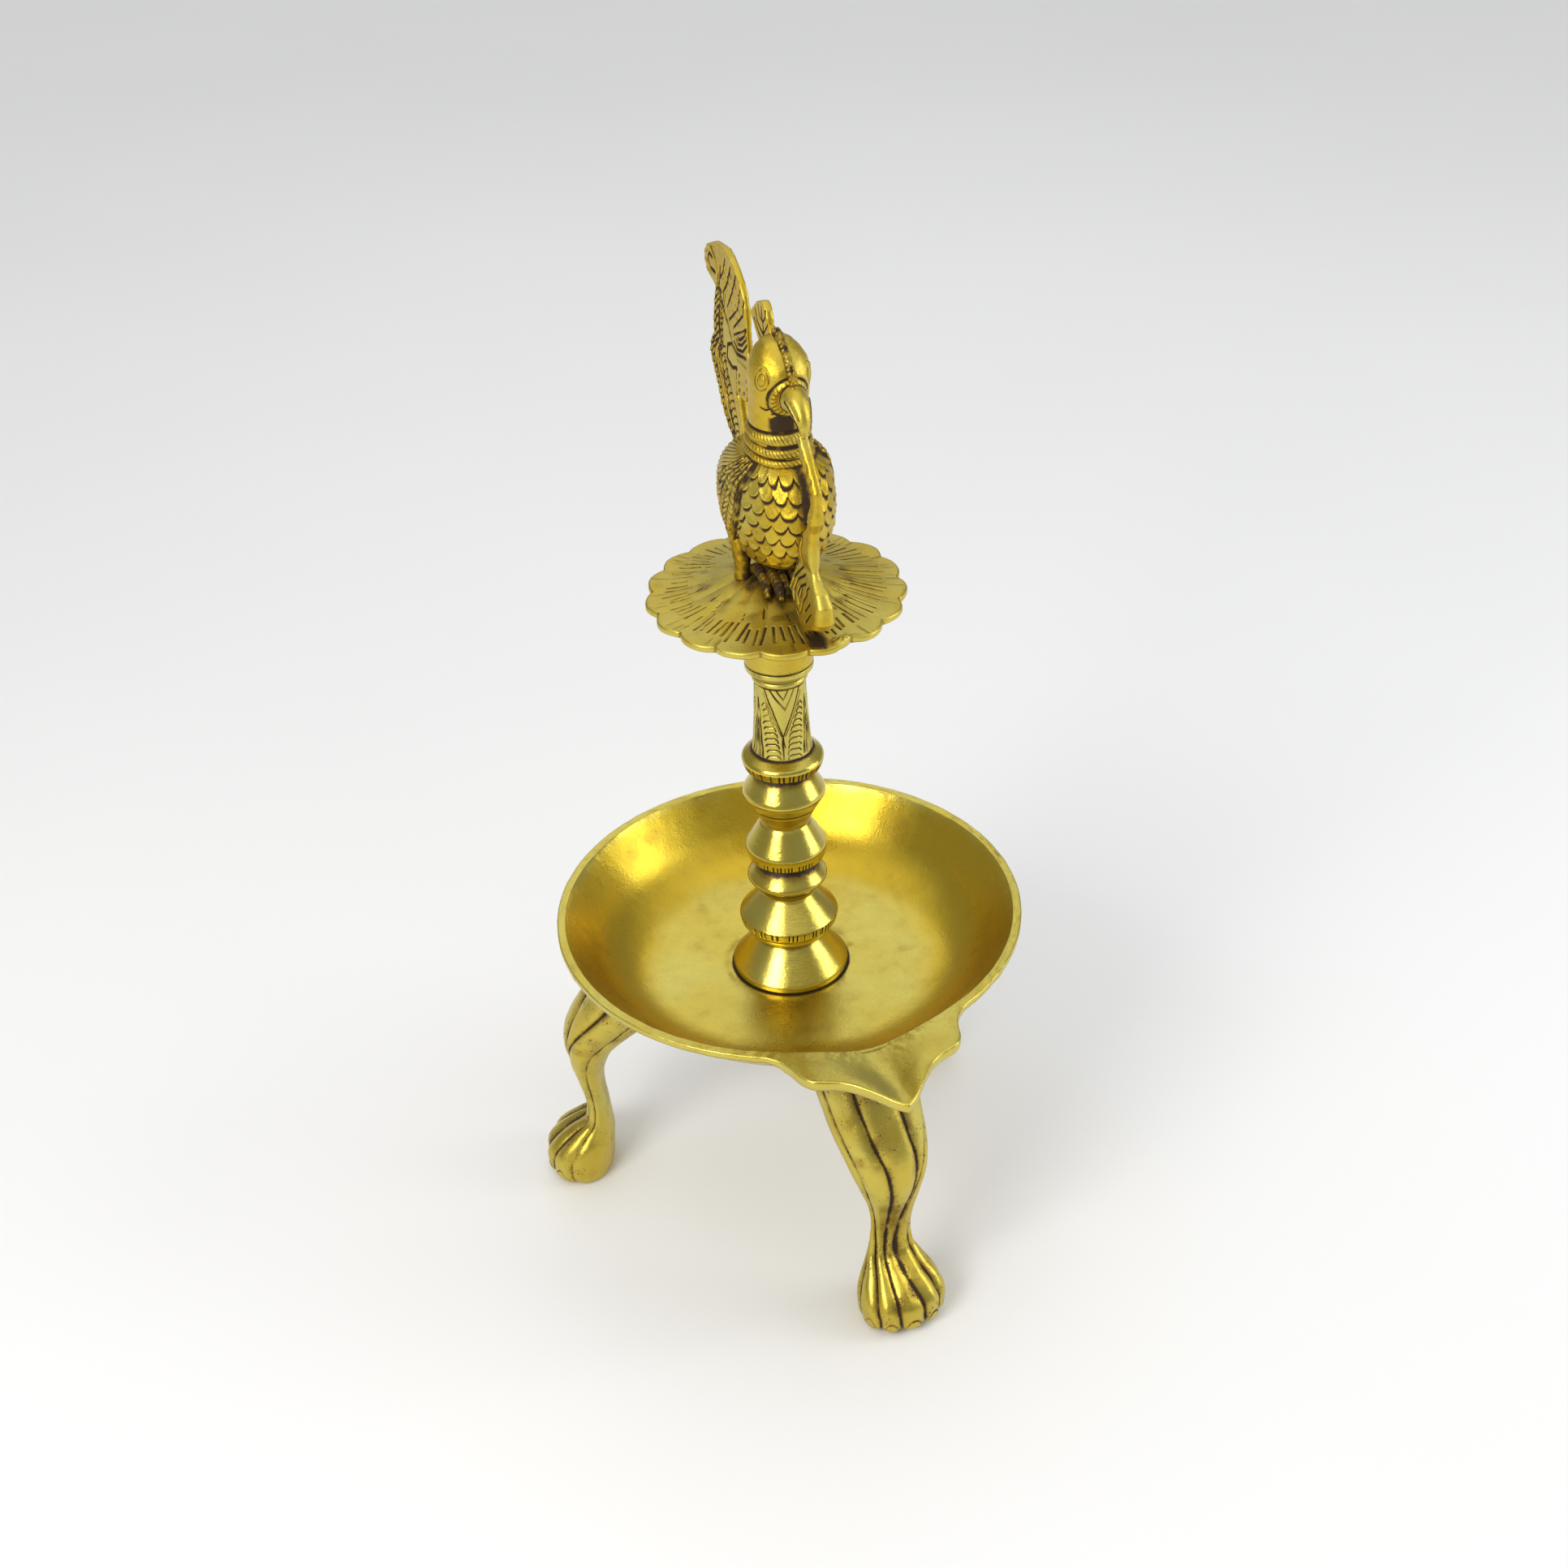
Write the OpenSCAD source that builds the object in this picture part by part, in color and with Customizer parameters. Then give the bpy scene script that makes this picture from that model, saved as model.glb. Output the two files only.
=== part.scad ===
// Standing brass oil lamp: a spouted bowl on three paw legs, a turned stem,
// a scalloped plate and a peacock finial. Everything is held by one tie rod
// and one finial stud, both threaded. Origin: centre of the footprint, on the
// floor. +Z is up and the spout faces -Y.

/* [Bowl] */
// Outer diameter of the bowl across its rim
bowl_d = 150; // [146:1:154]
// Height of the rim above the floor
rim_h = 114; // [112:1:116]
// Depth of the bowl inside
bowl_depth = 22; // [20:1:24]
// Thickness of the bowl's wall
bowl_wall = 3.5; // [3:0.1:4]
// Distance from the lamp's axis to the spout's tip
spout_reach = 101.8; // [98:0.1:104]

/* [Legs] */
// How far the front leg stands round from the spout, in degrees
leg_turn = 6; // [0:1:10]
// Width of a paw across its toes
paw_w = 29.2; // [27:0.1:31]

/* [Stem] */
// Radius of the tie rod and of the finial stud
rod_r = 3; // [2.8:0.1:3.2]
// Radial clearance of every threaded or plain fit
fit = 0.06; // [0.03:0.01:0.09]
// Widest radius of the stem's foot
foot_r = 18.7; // [17:0.1:19]

/* [Plate] */
// Height of the plate's edge above the floor
plate_h = 230.6; // [230:0.1:231]
// Radius of the plate at the crest of a lobe
plate_r = 38.9; // [37:0.1:40]
// Number of lobes round the plate
lobes = 17; // [15:1:19]
// Thickness of the plate at its edge
plate_t = 2.6; // [2:0.1:3]

/* [Peacock] */
// Thickness of the tail
tail_t = 3; // [2.4:0.1:3.4]
// Thickness of the crest
crest_t = 2.4; // [2:0.1:3]
// Thickness of the vine's upper strip
vine_t = 3.3; // [2.8:0.1:3.6]
// Thickness of the vine's lower leaf
leaf_t = 4.6; // [4:0.1:5]

/* [Hidden] */

brass = [0.78, 0.66, 0.27];
pale_brass = [0.84, 0.76, 0.40];
dark_brass = [0.55, 0.42, 0.15];

// Bowl: flat floor, a round corner, then a straight wall up to a flat rim
bowl_r = bowl_d / 2;
rim_w = 3.2;
floor_h = rim_h - bowl_depth;
under_h = floor_h - bowl_wall;
wall_slope = 52;
floor_r = 42;
wall_run = (bowl_r - rim_w - floor_r) * tan(wall_slope) - bowl_depth;
corner_r = wall_run / (sin(wall_slope) * tan(wall_slope) - (1 - cos(wall_slope)));
outer_corner_r = corner_r + bowl_wall;
rim_edge = 2.6;

// Legs: the widest part of the paw sets how far the lamp reaches sideways
leg_angles = [-90 + leg_turn, 30 + leg_turn, 150 + leg_turn];
paw_mid = 77.5;
paw_half_l = 12.5;
rivet_at = 40;
rivet_r = 2.5;
rivet_head_r = 3.8;
rivet_depth = 4.5;

// Stem: heights of the seams between the turned sections, from the bowl's floor
base_len = 42.8;
middle_len = 34;
ring_len = 7;
sleeve_len = 30.8;
middle_h = floor_h + base_len;
ring_h = middle_h + middle_len;
sleeve_h = ring_h + ring_len;
collar_h = sleeve_h + sleeve_len;
rod_top = collar_h - 13.6;
stud_in = 8.8;
bore_r = rod_r + fit;
relief = 0.4;

// Fixing under the bowl
washer_t = 1.5;
washer_r = 7.5;
nut_t = 5;
nut_af = 10;
rod_tail = 2;
rod_bottom = under_h - washer_t - nut_t - rod_tail;

// Plate: a flared disc with a flat seat for its collar
seat_h = plate_h + 1.4;
mound_h = plate_h + 7.6;
lobe_r = 10;
collar_r = 10.5;
stud_top = plate_h + 5;

// The lamp's axis stands off the footprint's centre, because the spout and one leg reach out
function reach(a) = paw_mid * abs(cos(a)) + norm([paw_half_l * cos(a), paw_w / 2 * sin(a)]);
axis_x = (reach(leg_angles[2]) - max(bowl_r, reach(leg_angles[1]))) / 2;
axis_y = (spout_reach - bowl_r) / 2;

// An arc of a profile, from angle a0 to a1 about [cx, cz]
function arc(cx, cz, r, a0, a1, n = 8) =
    [for (i = [0:n]) let (a = a0 + (a1 - a0) * i / n) [cx + r * cos(a), cz + r * sin(a)]];

// A ring of a slice: a rounded rectangle's outline, 1 is an ellipse and less is squarer
function bow(v, p) = sign(v) * pow(abs(v), p);
function ring(z, back, front, half_w, p, n) =
    [for (i = [0:n - 1]) let (a = 360 * i / n)
        [(back + front) / 2 + (front - back) / 2 * bow(cos(a), p), half_w * bow(sin(a), p), z]];

// A closed solid through horizontal slices [z, back, front, half width], lowest first
module slices(list, p = 0.85, n = 28) {
    rings = [for (s = list) ring(s[0], s[1], s[2], s[3], p, n)];
    top = (len(rings) - 1) * n;
    sides = [for (k = [0:len(rings) - 2]) for (i = [0:n - 1]) let (a = k * n + i, b = k * n + (i + 1) % n)
        each [[a, a + n, b], [b, a + n, b + n]]];
    polyhedron(
        points = [for (r = rings) for (q = r) q],
        faces = concat([[for (i = [0:n - 1]) i]], sides, [[for (i = [n - 1:-1:0]) top + i]]),
        convexity = 6);
}

// Everything is drawn about the lamp's own axis and then stood on the footprint
module on_axis() {
    translate([axis_x, axis_y, 0]) children();
}

// The peacock's own plane: x forward, y to its side, z up; it faces the spout
module facing() {
    on_axis() rotate(-88.6) children();
}

// A turned piece with a through bore for the tie rod
module turned(points) {
    on_axis() difference() {
        rotate_extrude($fn = 96) polygon(points);
        translate([0, 0, points[0][1] - 1]) cylinder(h = 60, r = bore_r, $fn = 48);
    }
}

// Half section of the bowl's outside, and of the space in it
module bowl_outside() {
    rotate_extrude($fn = 160) polygon(concat(
        [[0, under_h]],
        arc(floor_r, under_h + outer_corner_r, outer_corner_r, -90, wall_slope - 90),
        [[bowl_r, rim_h - rim_edge], [bowl_r, rim_h], [0, rim_h]]));
}

module bowl_inside() {
    rotate_extrude($fn = 160) polygon(concat(
        [[0, floor_h]],
        arc(floor_r, floor_h + corner_r, corner_r, -90, wall_slope - 90),
        [[bowl_r - rim_w, rim_h], [bowl_r - rim_w, rim_h + 5], [0, rim_h + 5]]));
}

// The spout is a pointed lip with a round ear on each side and a shallow channel to its tip
module spout_outline() {
    ear = [82, 24];
    side = [[66, 30], [72, 29.5], [76.5, 27.8]];
    near_tip = [[84.5, 19.5], [88.5, 16], [93, 11.6], [97.5, 6.4]];
    outline = concat(side, arc(ear[0], ear[1] - 1, 3, 75, -15, 5), near_tip);
    tip = [[spout_reach, 0]];
    other = [for (i = [len(outline) - 1:-1:0]) [outline[i][0], -outline[i][1]]];
    polygon(concat(outline, tip, other));
}

module bowl() {
    lip_t = 3.6;
    channel_r = 34;
    channel_depth = 2.6;
    color(brass) on_axis() difference() {
        union() {
            bowl_outside();
            rotate(-90) translate([0, 0, rim_h - lip_t]) linear_extrude(lip_t) spout_outline();
        }
        bowl_inside();
        rotate(-90) translate([62, 0, rim_h + channel_r - channel_depth - 0.6]) rotate([0, 87, 0])
            cylinder(h = 60, r = channel_r, $fn = 96);
        translate([0, 0, under_h - 1]) cylinder(h = bowl_wall + 2, r = bore_r, $fn = 48);
        for (a = leg_angles) rotate(a) translate([rivet_at, 0, 0]) rivet(relief);
    }
}

// One leg, drawn along +X. Its top is cut to the bowl's underside, where it is riveted
module leg(a) {
    profile = [
        [0, 67, 88.5, 12.4], [3, 65.6, 90, 14], [7, 65, 90, paw_w / 2], [11, 64.6, 88.8, paw_w / 2],
        [15, 64.4, 86.4, 13.2], [19, 64.5, 80.8, 10.4], [23, 64.8, 74.6, 8.2], [28, 65.3, 73.2, 7.3],
        [34, 66, 73.4, 7.1], [42, 66, 75.4, 7.9], [49, 64, 77.4, 9.6], [56, 60.5, 78.4, 12],
        [62, 55, 78, 13.6], [68, 48.5, 76, 14.8], [75, 42, 72.2, 15.6], [82, 36, 68, 16],
        [90, 31, 63, 16], [104, 29, 58, 15.5]];
    color(brass) on_axis() difference() {
        rotate(a) slices(profile);
        bowl_outside();
        translate([0, 0, rim_h - 0.01]) cylinder(h = 20, r = bowl_r, $fn = 96);
        rotate(a) translate([rivet_at, 0, 0]) rivet(0);
    }
}

module leg_front() { leg(leg_angles[0]); }
module leg_right() { leg(leg_angles[1]); }
module leg_left() { leg(leg_angles[2]); }

// A countersunk rivet, hammered flush with the bowl's floor
module rivet(over) {
    head_t = 1.3;
    translate([0, 0, under_h - rivet_depth]) cylinder(h = rivet_depth + bowl_wall, r = rivet_r, $fn = 32);
    translate([0, 0, floor_h - head_t]) cylinder(h = head_t, r1 = rivet_r, r2 = rivet_head_r, $fn = 32);
    if (over > 0) translate([0, 0, floor_h]) cylinder(h = over, r = rivet_head_r, $fn = 32);
}

module leg_rivets() {
    color(brass) on_axis() for (a = leg_angles) rotate(a) translate([rivet_at, 0, 0]) rivet(0);
}

module base_washer() {
    color(dark_brass) on_axis() translate([0, 0, under_h - washer_t]) difference() {
        cylinder(h = washer_t, r = washer_r, $fn = 64);
        translate([0, 0, -1]) cylinder(h = washer_t + 2, r = rod_r + 0.3, $fn = 48);
    }
}

module base_nut() {
    color(dark_brass) on_axis() translate([0, 0, under_h - washer_t - nut_t]) difference() {
        cylinder(h = nut_t, r = nut_af / sqrt(3), $fn = 6);
        translate([0, 0, -1]) cylinder(h = nut_t + 2, r = bore_r, $fn = 48);
    }
}

module tie_rod() {
    color(dark_brass) on_axis() translate([0, 0, rod_bottom]) cylinder(h = rod_top - rod_bottom, r = rod_r, $fn = 48);
}

// Turned sections: profiles are [radius, height above the section's seam]
function lathe(h, outline) = concat([[0.5, h]], [for (q = outline) [q[0], h + q[1]]],
    [[0.5, h + outline[len(outline) - 1][1]]]);

module stem_base() {
    color(pale_brass) turned(lathe(floor_h, [
        [foot_r, 0], [foot_r - 0.4, 2.6], [10.2, 12.2], [10.4, 13], [12.6, 14.4], [13.8, 16.6],
        [15.5, 18.4], [15.9, 21], [8.2, 29.4], [8.6, 30.4], [10.3, 32], [10.6, 33],
        [12.7, 35.4], [12.5, 36.6], [8.2, 42.2], [8, base_len]]));
}

module stem_middle() {
    color(pale_brass) turned(lathe(middle_h, [
        [8, 0], [8, 0.5], [12.2, 0.8], [12.9, 5.4], [7.6, 13.8], [7.9, 14.8], [10, 18.8],
        [10.8, 20.8], [13, 25], [12.6, 26.3], [8.4, 33.2], [8.2, middle_len]]));
}

module knurled_ring() {
    color(pale_brass) turned(lathe(ring_h, [
        [8.2, 0], [8.2, 0.4], [12.1, 0.7], [12.8, 3.4], [12.4, 4.2], [9.4, ring_len]]));
}

// The sleeve carries the cup on top. Its bore is blind from both ends
module engraved_sleeve() {
    color(brass) on_axis() difference() {
        rotate_extrude($fn = 96) polygon([
            [0, sleeve_h], [9.4, sleeve_h], [7.9, sleeve_h + 24.6], [8.5, sleeve_h + 25.2],
            [8.5, sleeve_h + 26.2], [8.1, sleeve_h + 26.8], [9.4, sleeve_h + 28],
            [collar_r, sleeve_h + 29.2], [collar_r, collar_h], [0, collar_h]]);
        translate([0, 0, sleeve_h - 1]) cylinder(h = rod_top - sleeve_h + 1, r = bore_r, $fn = 48);
        translate([0, 0, collar_h - stud_in - relief]) cylinder(h = stud_in + relief + 1, r = bore_r, $fn = 48);
    }
}

module finial_stud() {
    color(dark_brass) on_axis() translate([0, 0, collar_h - stud_in])
        cylinder(h = stud_top - collar_h + stud_in, r = rod_r, $fn = 48);
}

// The collar under the plate sits on the cup's lip
module plate_collar() {
    color(dark_brass) on_axis() difference() {
        translate([0, 0, collar_h]) cylinder(h = seat_h - collar_h, r = collar_r, $fn = 96);
        translate([0, 0, collar_h - 1]) cylinder(h = seat_h - collar_h + 2, r = bore_r, $fn = 48);
    }
}

module plate_outline() {
    union() {
        circle(r = plate_r - lobe_r + 4, $fn = 96);
        for (k = [0:lobes - 1]) rotate(360 * k / lobes) translate([plate_r - lobe_r, 0]) circle(r = lobe_r, $fn = 48);
    }
}

module scalloped_plate() {
    color(pale_brass) on_axis() difference() {
        intersection() {
            rotate_extrude($fn = 128) polygon([
                [0, seat_h], [13, seat_h], [26, plate_h - plate_t + 0.6], [plate_r + 1, plate_h - plate_t],
                [plate_r + 1, plate_h], [34, plate_h + 0.4], [28, plate_h + 1.4], [22, plate_h + 2.8],
                [16, plate_h + 4.8], [11, plate_h + 6.6], [7, mound_h], [0, mound_h]]);
            translate([0, 0, plate_h - 10]) linear_extrude(30) plate_outline();
        }
        translate([0, 0, seat_h - 1]) cylinder(h = stud_top - seat_h + 1, r = bore_r, $fn = 48);
    }
}

// The peacock: body, neck and head in one casting, with its beak, legs and feet
module peacock_body() {
    foot_x = 1;
    leg_gap = 5.5;
    body = [
        [241, -6, 8, 5], [244, -14, 14, 9.5], [249, -19.5, 19.5, 12.8], [255, -23, 23, 14.6],
        [261, -24.5, 25, 15], [267, -23.5, 25, 14.6], [273, -17, 23, 13.2], [278, -8, 20, 11.2],
        [283, -3.5, 17.6, 9.6], [289, -1.5, 16, 9], [295, -0.8, 16.5, 8.6], [300, -0.5, 18.5, 8.9],
        [304, -0.2, 19, 8.8], [308, 0.8, 17.2, 7.8], [311.5, 3, 13.8, 5.6], [313.5, 5.5, 10.5, 2.5]];
    beak = [
        [290.7, 26, 27, 0.5], [292, 24.6, 28.4, 1.3], [295, 22.5, 30, 2.3], [298, 20, 30.4, 3],
        [301, 16, 28.4, 3.4], [303, 16, 24, 3.2]];
    color(brass) facing() union() {
        slices(body, 1);
        slices(beak, 1, 16);
        for (side = [-1, 1]) translate([foot_x, side * leg_gap, mound_h]) {
            cylinder(h = 8, r = 2.6, $fn = 24);
            for (toe = [-30, 0, 30]) rotate(toe) translate([0, -1, 0]) cube([6.5, 2, 1.8]);
        }
    }
}

// A flat casting in the peacock's plane, from its outline of [forward, height]
module flat_casting(outline, t) {
    facing() rotate([90, 0, 0]) translate([0, 0, -t / 2]) linear_extrude(t) polygon(outline);
}

module peacock_tail() {
    color(brass) flat_casting([
        [-14, 262], [-20, 260], [-26, 266], [-31, 269], [-38, 276.5], [-42.6, 285], [-45.6, 289],
        [-45, 292], [-41.7, 296], [-41.7, 301], [-38, 312], [-46, 314], [-46.6, 319], [-44, 322],
        [-38.8, 324.3], [-28, 325.2], [-17, 322], [-13.3, 316], [-7.5, 312.8], [-7.4, 305.4],
        [-10.7, 300], [-22.2, 292.6], [-19.9, 284.5], [-17, 270]], tail_t);
}

module peacock_crest() {
    color(brass) flat_casting([
        [1.5, 305], [6, 308], [10, 312], [9.4, 314.4], [6.5, 316], [5.1, 319.7], [0.8, 320.3],
        [-3.8, 319], [-7.2, 316], [-8.8, 314], [-7, 312], [-4.8, 309.5], [-2.6, 306.7]], crest_t);
}

// The vine runs from the beak's tip down to a leaf that stands on the plate
module beak_vine() {
    color(brass) union() {
        flat_casting([
            [26.4, 291.4], [28.4, 289], [34, 282.5], [37, 278], [33.8, 268.5], [32.4, 251.6],
            [24, 247], [20, 248], [22.5, 256], [25.5, 262], [31, 266], [33, 277.5], [26, 286], [24.6, 289.6]],
            vine_t);
        flat_casting([
            [16.6, 242], [20.6, 239.5], [25.3, 234.7], [29.9, 232.6], [41, 238], [40.5, 245],
            [34.5, 250.6], [32.2, 252.4], [24, 250], [20, 248]], leaf_t);
    }
}

bowl();
leg_front();
leg_right();
leg_left();
leg_rivets();
base_washer();
base_nut();
tie_rod();
stem_base();
stem_middle();
knurled_ring();
engraved_sleeve();
finial_stud();
plate_collar();
scalloped_plate();
peacock_body();
peacock_tail();
peacock_crest();
beak_vine();
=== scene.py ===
import math

import bpy
import numpy as np
from mathutils import Matrix, Vector


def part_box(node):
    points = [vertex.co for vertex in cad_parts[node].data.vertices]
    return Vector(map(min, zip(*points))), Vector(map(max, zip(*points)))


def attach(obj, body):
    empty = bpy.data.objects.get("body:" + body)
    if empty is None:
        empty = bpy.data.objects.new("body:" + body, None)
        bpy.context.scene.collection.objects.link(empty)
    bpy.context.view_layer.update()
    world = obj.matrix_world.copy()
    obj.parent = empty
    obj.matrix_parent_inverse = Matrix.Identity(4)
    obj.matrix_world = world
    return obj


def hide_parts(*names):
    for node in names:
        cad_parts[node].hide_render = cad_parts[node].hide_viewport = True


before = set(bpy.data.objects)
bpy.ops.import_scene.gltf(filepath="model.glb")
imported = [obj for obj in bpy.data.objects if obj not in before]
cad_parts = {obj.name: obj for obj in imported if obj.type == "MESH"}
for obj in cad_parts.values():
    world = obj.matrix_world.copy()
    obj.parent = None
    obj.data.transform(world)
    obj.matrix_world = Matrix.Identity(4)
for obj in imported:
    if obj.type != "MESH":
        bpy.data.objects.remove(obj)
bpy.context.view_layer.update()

mm = 0.001
turnFull = 2 * math.pi
farAway = 9.0


def span(node, axis):
    low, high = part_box(node)
    return low[axis] / mm, high[axis] / mm


def middle(node):
    low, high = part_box(node)
    return [(low[k] + high[k]) / 2 / mm for k in range(3)]


# Everything below is drawn in millimetres about the lamp's own axis, then placed
axisX, axisY, _ = middle("tie_rod")
rimHeight = span("bowl", 2)[1]
bowlFloor = span("stem_base", 2)[0]
vineX, vineY, _ = middle("beak_vine")
birdTurn = math.atan2(vineY - axisY, vineX - axisX)
spoutTurn = -math.pi / 2


def place(points, turn=0.0):
    points = np.asarray(points, float)
    c, s = math.cos(turn), math.sin(turn)
    x, y, z = points[..., 0], points[..., 1], points[..., 2]
    return np.stack([c * x - s * y + axisX, s * x + c * y + axisY, z], -1) * mm


def curveThrough(at, xs, ys):
    # smooth curve through a few given points
    xs, ys = np.asarray(xs, float), np.asarray(ys, float)
    slope = np.gradient(ys, xs)
    k = np.clip(np.searchsorted(xs, at) - 1, 0, len(xs) - 2)
    step = xs[k + 1] - xs[k]
    t = np.clip((at - xs[k]) / step, 0, 1)
    keep = (1 + 2 * t) * (1 - t) ** 2 * ys[k] + t * t * (3 - 2 * t) * ys[k + 1]
    return keep + step * (t * (1 - t) ** 2 * slope[k] - t * t * (1 - t) * slope[k + 1])


def ramp(x, low, high):
    t = np.clip((x - low) / (high - low), 0, 1)
    return t * t * (3 - 2 * t)


def bell(away, width):
    return np.exp(-(away / width) ** 2)


def softNoise(points, size, seed):
    # smooth lumps about size across, from -1 to 1
    q = np.asarray(points) / size + 500
    cell = np.floor(q).astype(np.int64)
    t = q - cell
    t = t * t * (3 - 2 * t)
    total = 0
    for corner in range(8):
        step = [(corner >> k) & 1 for k in range(3)]
        n = sum((cell[..., k] + step[k]) * p for k, p in enumerate((73856093, 19349663, 83492791)))
        n = (n ^ (seed * 2654435)) & 0x7FFFFFFF
        n = (n ^ (n >> 13)) * 1274126177 & 0x7FFFFFFF
        weight = 1
        for k in range(3):
            weight = weight * (t[..., k] if step[k] else 1 - t[..., k])
        total = total + weight * ((n & 0xFFFF) / 32767.5 - 1)
    return total


def makeObject(name, points, faces, values=None):
    mesh = bpy.data.meshes.new(name)
    mesh.from_pydata(np.asarray(points).tolist(), [], faces)
    for key, data in (values or {}).items():
        layer = mesh.attributes.new(key, "FLOAT", "POINT")
        layer.data.foreach_set("value", np.asarray(data, np.float32))
    mesh.shade_smooth()
    made = bpy.data.objects.new(name, mesh)
    bpy.context.collection.objects.link(made)
    return made


def shell(name, grid, grime, bored=False):
    # a closed skin: rows wrap round, and the ends close to a point, or meet each other round a bored hole
    rows, cols = grid.shape[:2]
    i = np.arange(cols)
    j = (i + 1) % cols
    k = (np.arange(rows - 1) * cols)[:, None]
    quads = np.stack([k + i, k + j, k + cols + j, k + cols + i], -1).reshape(-1, 4)
    points, values = grid.reshape(-1, 3), grime.reshape(-1)
    top = (rows - 1) * cols
    if bored:
        ends = np.stack([top + i, top + j, j, i], -1).tolist()
    else:
        first, last = rows * cols, rows * cols + 1
        low = np.stack([np.full(cols, first), j, i], -1)
        high = np.stack([np.full(cols, last), top + i, top + j], -1)
        ends = low.tolist() + high.tolist()
        points = np.concatenate([points, [grid[0].mean(0)], [grid[-1].mean(0)]])
        values = np.concatenate([values, [grime[0].mean()], [grime[-1].mean()]])
    return makeObject(name, points, quads.tolist() + ends, {"grime": np.clip(values, 0, 1)})


def handOver(made, material, node, body):
    # paints a finished piece and ties it to the CAD node it stands for
    if material:
        made.data.materials.append(material)
    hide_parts(node)
    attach(made, body)


def circle(turn, radius, height=0.0):
    # points round the axis, one for every turn and height
    x, y = np.cos(turn) * radius + 0 * height, np.sin(turn) * radius + 0 * height
    return np.stack([x, y, height + 0 * turn], -1)


def pathLength(line):
    return np.concatenate([[0], np.cumsum(np.linalg.norm(np.diff(line, axis=0), axis=1))])


def strokeDistance(points, strokes):
    # distance from each flat point to the nearest of the drawn lines, with each line's own half width
    best = np.full(len(points), farAway)
    for path, width in strokes:
        path = np.asarray(path, float)
        near = np.abs(points - path.mean(0)).max(1) < np.ptp(path, axis=0).max() + 3
        if not near.any():
            continue
        q = points[near]
        close = np.full(len(q), farAway)
        for a, b in zip(path[:-1], path[1:]):
            along = b - a
            t = np.clip((q - a) @ along / max(along @ along, 1e-9), 0, 1)
            close = np.minimum(close, np.hypot(*(q - a - t[:, None] * along).T))
        best[near] = np.minimum(best[near], close / width)
    return best


# One socket of a node tree, with arithmetic on it
class Wire:
    def __init__(self, graph, socket):
        self.graph, self.socket = graph, socket

    def math(self, operation, *values):
        return self.graph.node("ShaderNodeMath", {"operation": operation}, dict(enumerate(values)))[0]

    def __add__(self, other):
        return self.math("ADD", self, other)

    def __sub__(self, other):
        return self.math("SUBTRACT", self, other)

    def __rsub__(self, other):
        return self.math("SUBTRACT", other, self)

    def __mul__(self, other):
        return self.math("MULTIPLY", self, other)

    def __gt__(self, other):
        return self.math("GREATER_THAN", self, other)

    def __lt__(self, other):
        return self.math("LESS_THAN", self, other)

    __radd__, __rmul__ = __add__, __mul__

    def call(self, operation, *values):
        return self.math(operation, self, *values)

    def within(self, low=0.0, high=1.0):
        return self.call("MAXIMUM", low).call("MINIMUM", high)

    def rise(self, low, high):
        settings = {"interpolation_type": "SMOOTHSTEP"}
        return self.graph.node("ShaderNodeMapRange", settings, {0: self, 1: low, 2: high})[0]


class Node:
    def __init__(self, graph, node):
        self.graph, self.node = graph, node

    def __getitem__(self, key):
        return Wire(self.graph, self.node.outputs[key])


class Graph:
    def __init__(self, tree):
        self.tree = tree

    def node(self, kind, settings=None, sockets=None):
        made = self.tree.nodes.new(kind)
        for key, value in (settings or {}).items():
            if key == "stops":
                for stop, (position, color) in zip(self.stopsOf(made, len(value)), value):
                    stop.position, stop.color = position, color
            else:
                setattr(made, key, value)
        for key, value in (sockets or {}).items():
            if isinstance(value, Wire):
                self.tree.links.new(value.socket, made.inputs[key])
            else:
                made.inputs[key].default_value = value
        return Node(self, made)

    def stopsOf(self, made, count):
        while len(made.color_ramp.elements) < count:
            made.color_ramp.elements.new(0.5)
        return list(made.color_ramp.elements)

    def mix(self, amount, low, high):
        sockets = {"Factor": amount, 6: low, 7: high}
        return self.node("ShaderNodeMix", {"data_type": "RGBA"}, sockets)[2]

    def noise(self, where, scale, detail=3.0, rough=0.5):
        sockets = {"Vector": where, "Scale": scale, "Detail": detail, "Roughness": rough}
        return self.node("ShaderNodeTexNoise", {"normalize": True}, sockets)["Fac"]

    def stretch(self, where, factors):
        return self.node("ShaderNodeVectorMath", {"operation": "MULTIPLY"}, {0: where, 1: factors})[0]

    def combine(self, x, y, z):
        return self.node("ShaderNodeCombineXYZ", None, {0: x, 1: y, 2: z})[0]

    def stored(self, kind, name):
        settings = {"data_type": kind}
        return self.node("GeometryNodeInputNamedAttribute", settings, {"Name": name})["Attribute"]

    def chance(self, sockets):
        return self.node("FunctionNodeRandomValue", {"data_type": "FLOAT"}, sockets)["Value"]

    def keepGrime(self, geometry, value):
        settings = {"data_type": "FLOAT", "domain": "POINT"}
        sockets = {"Geometry": geometry, "Name": "grime", "Value": value}
        return self.node("GeometryNodeStoreNamedAttribute", settings, sockets)["Geometry"]


def shaderGraph(owner):
    # an empty node tree on a material or a world
    owner.use_nodes = True
    owner.node_tree.nodes.clear()
    return Graph(owner.node_tree)


brassColours = {"pale": (0.63, 0.56, 0.135, 1), "gold": (0.60, 0.42, 0.035, 1),
                "bronze": (0.44, 0.30, 0.05, 1), "brown": (0.27, 0.155, 0.02, 1),
                "dark": (0.040, 0.020, 0.004, 1)}


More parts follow.
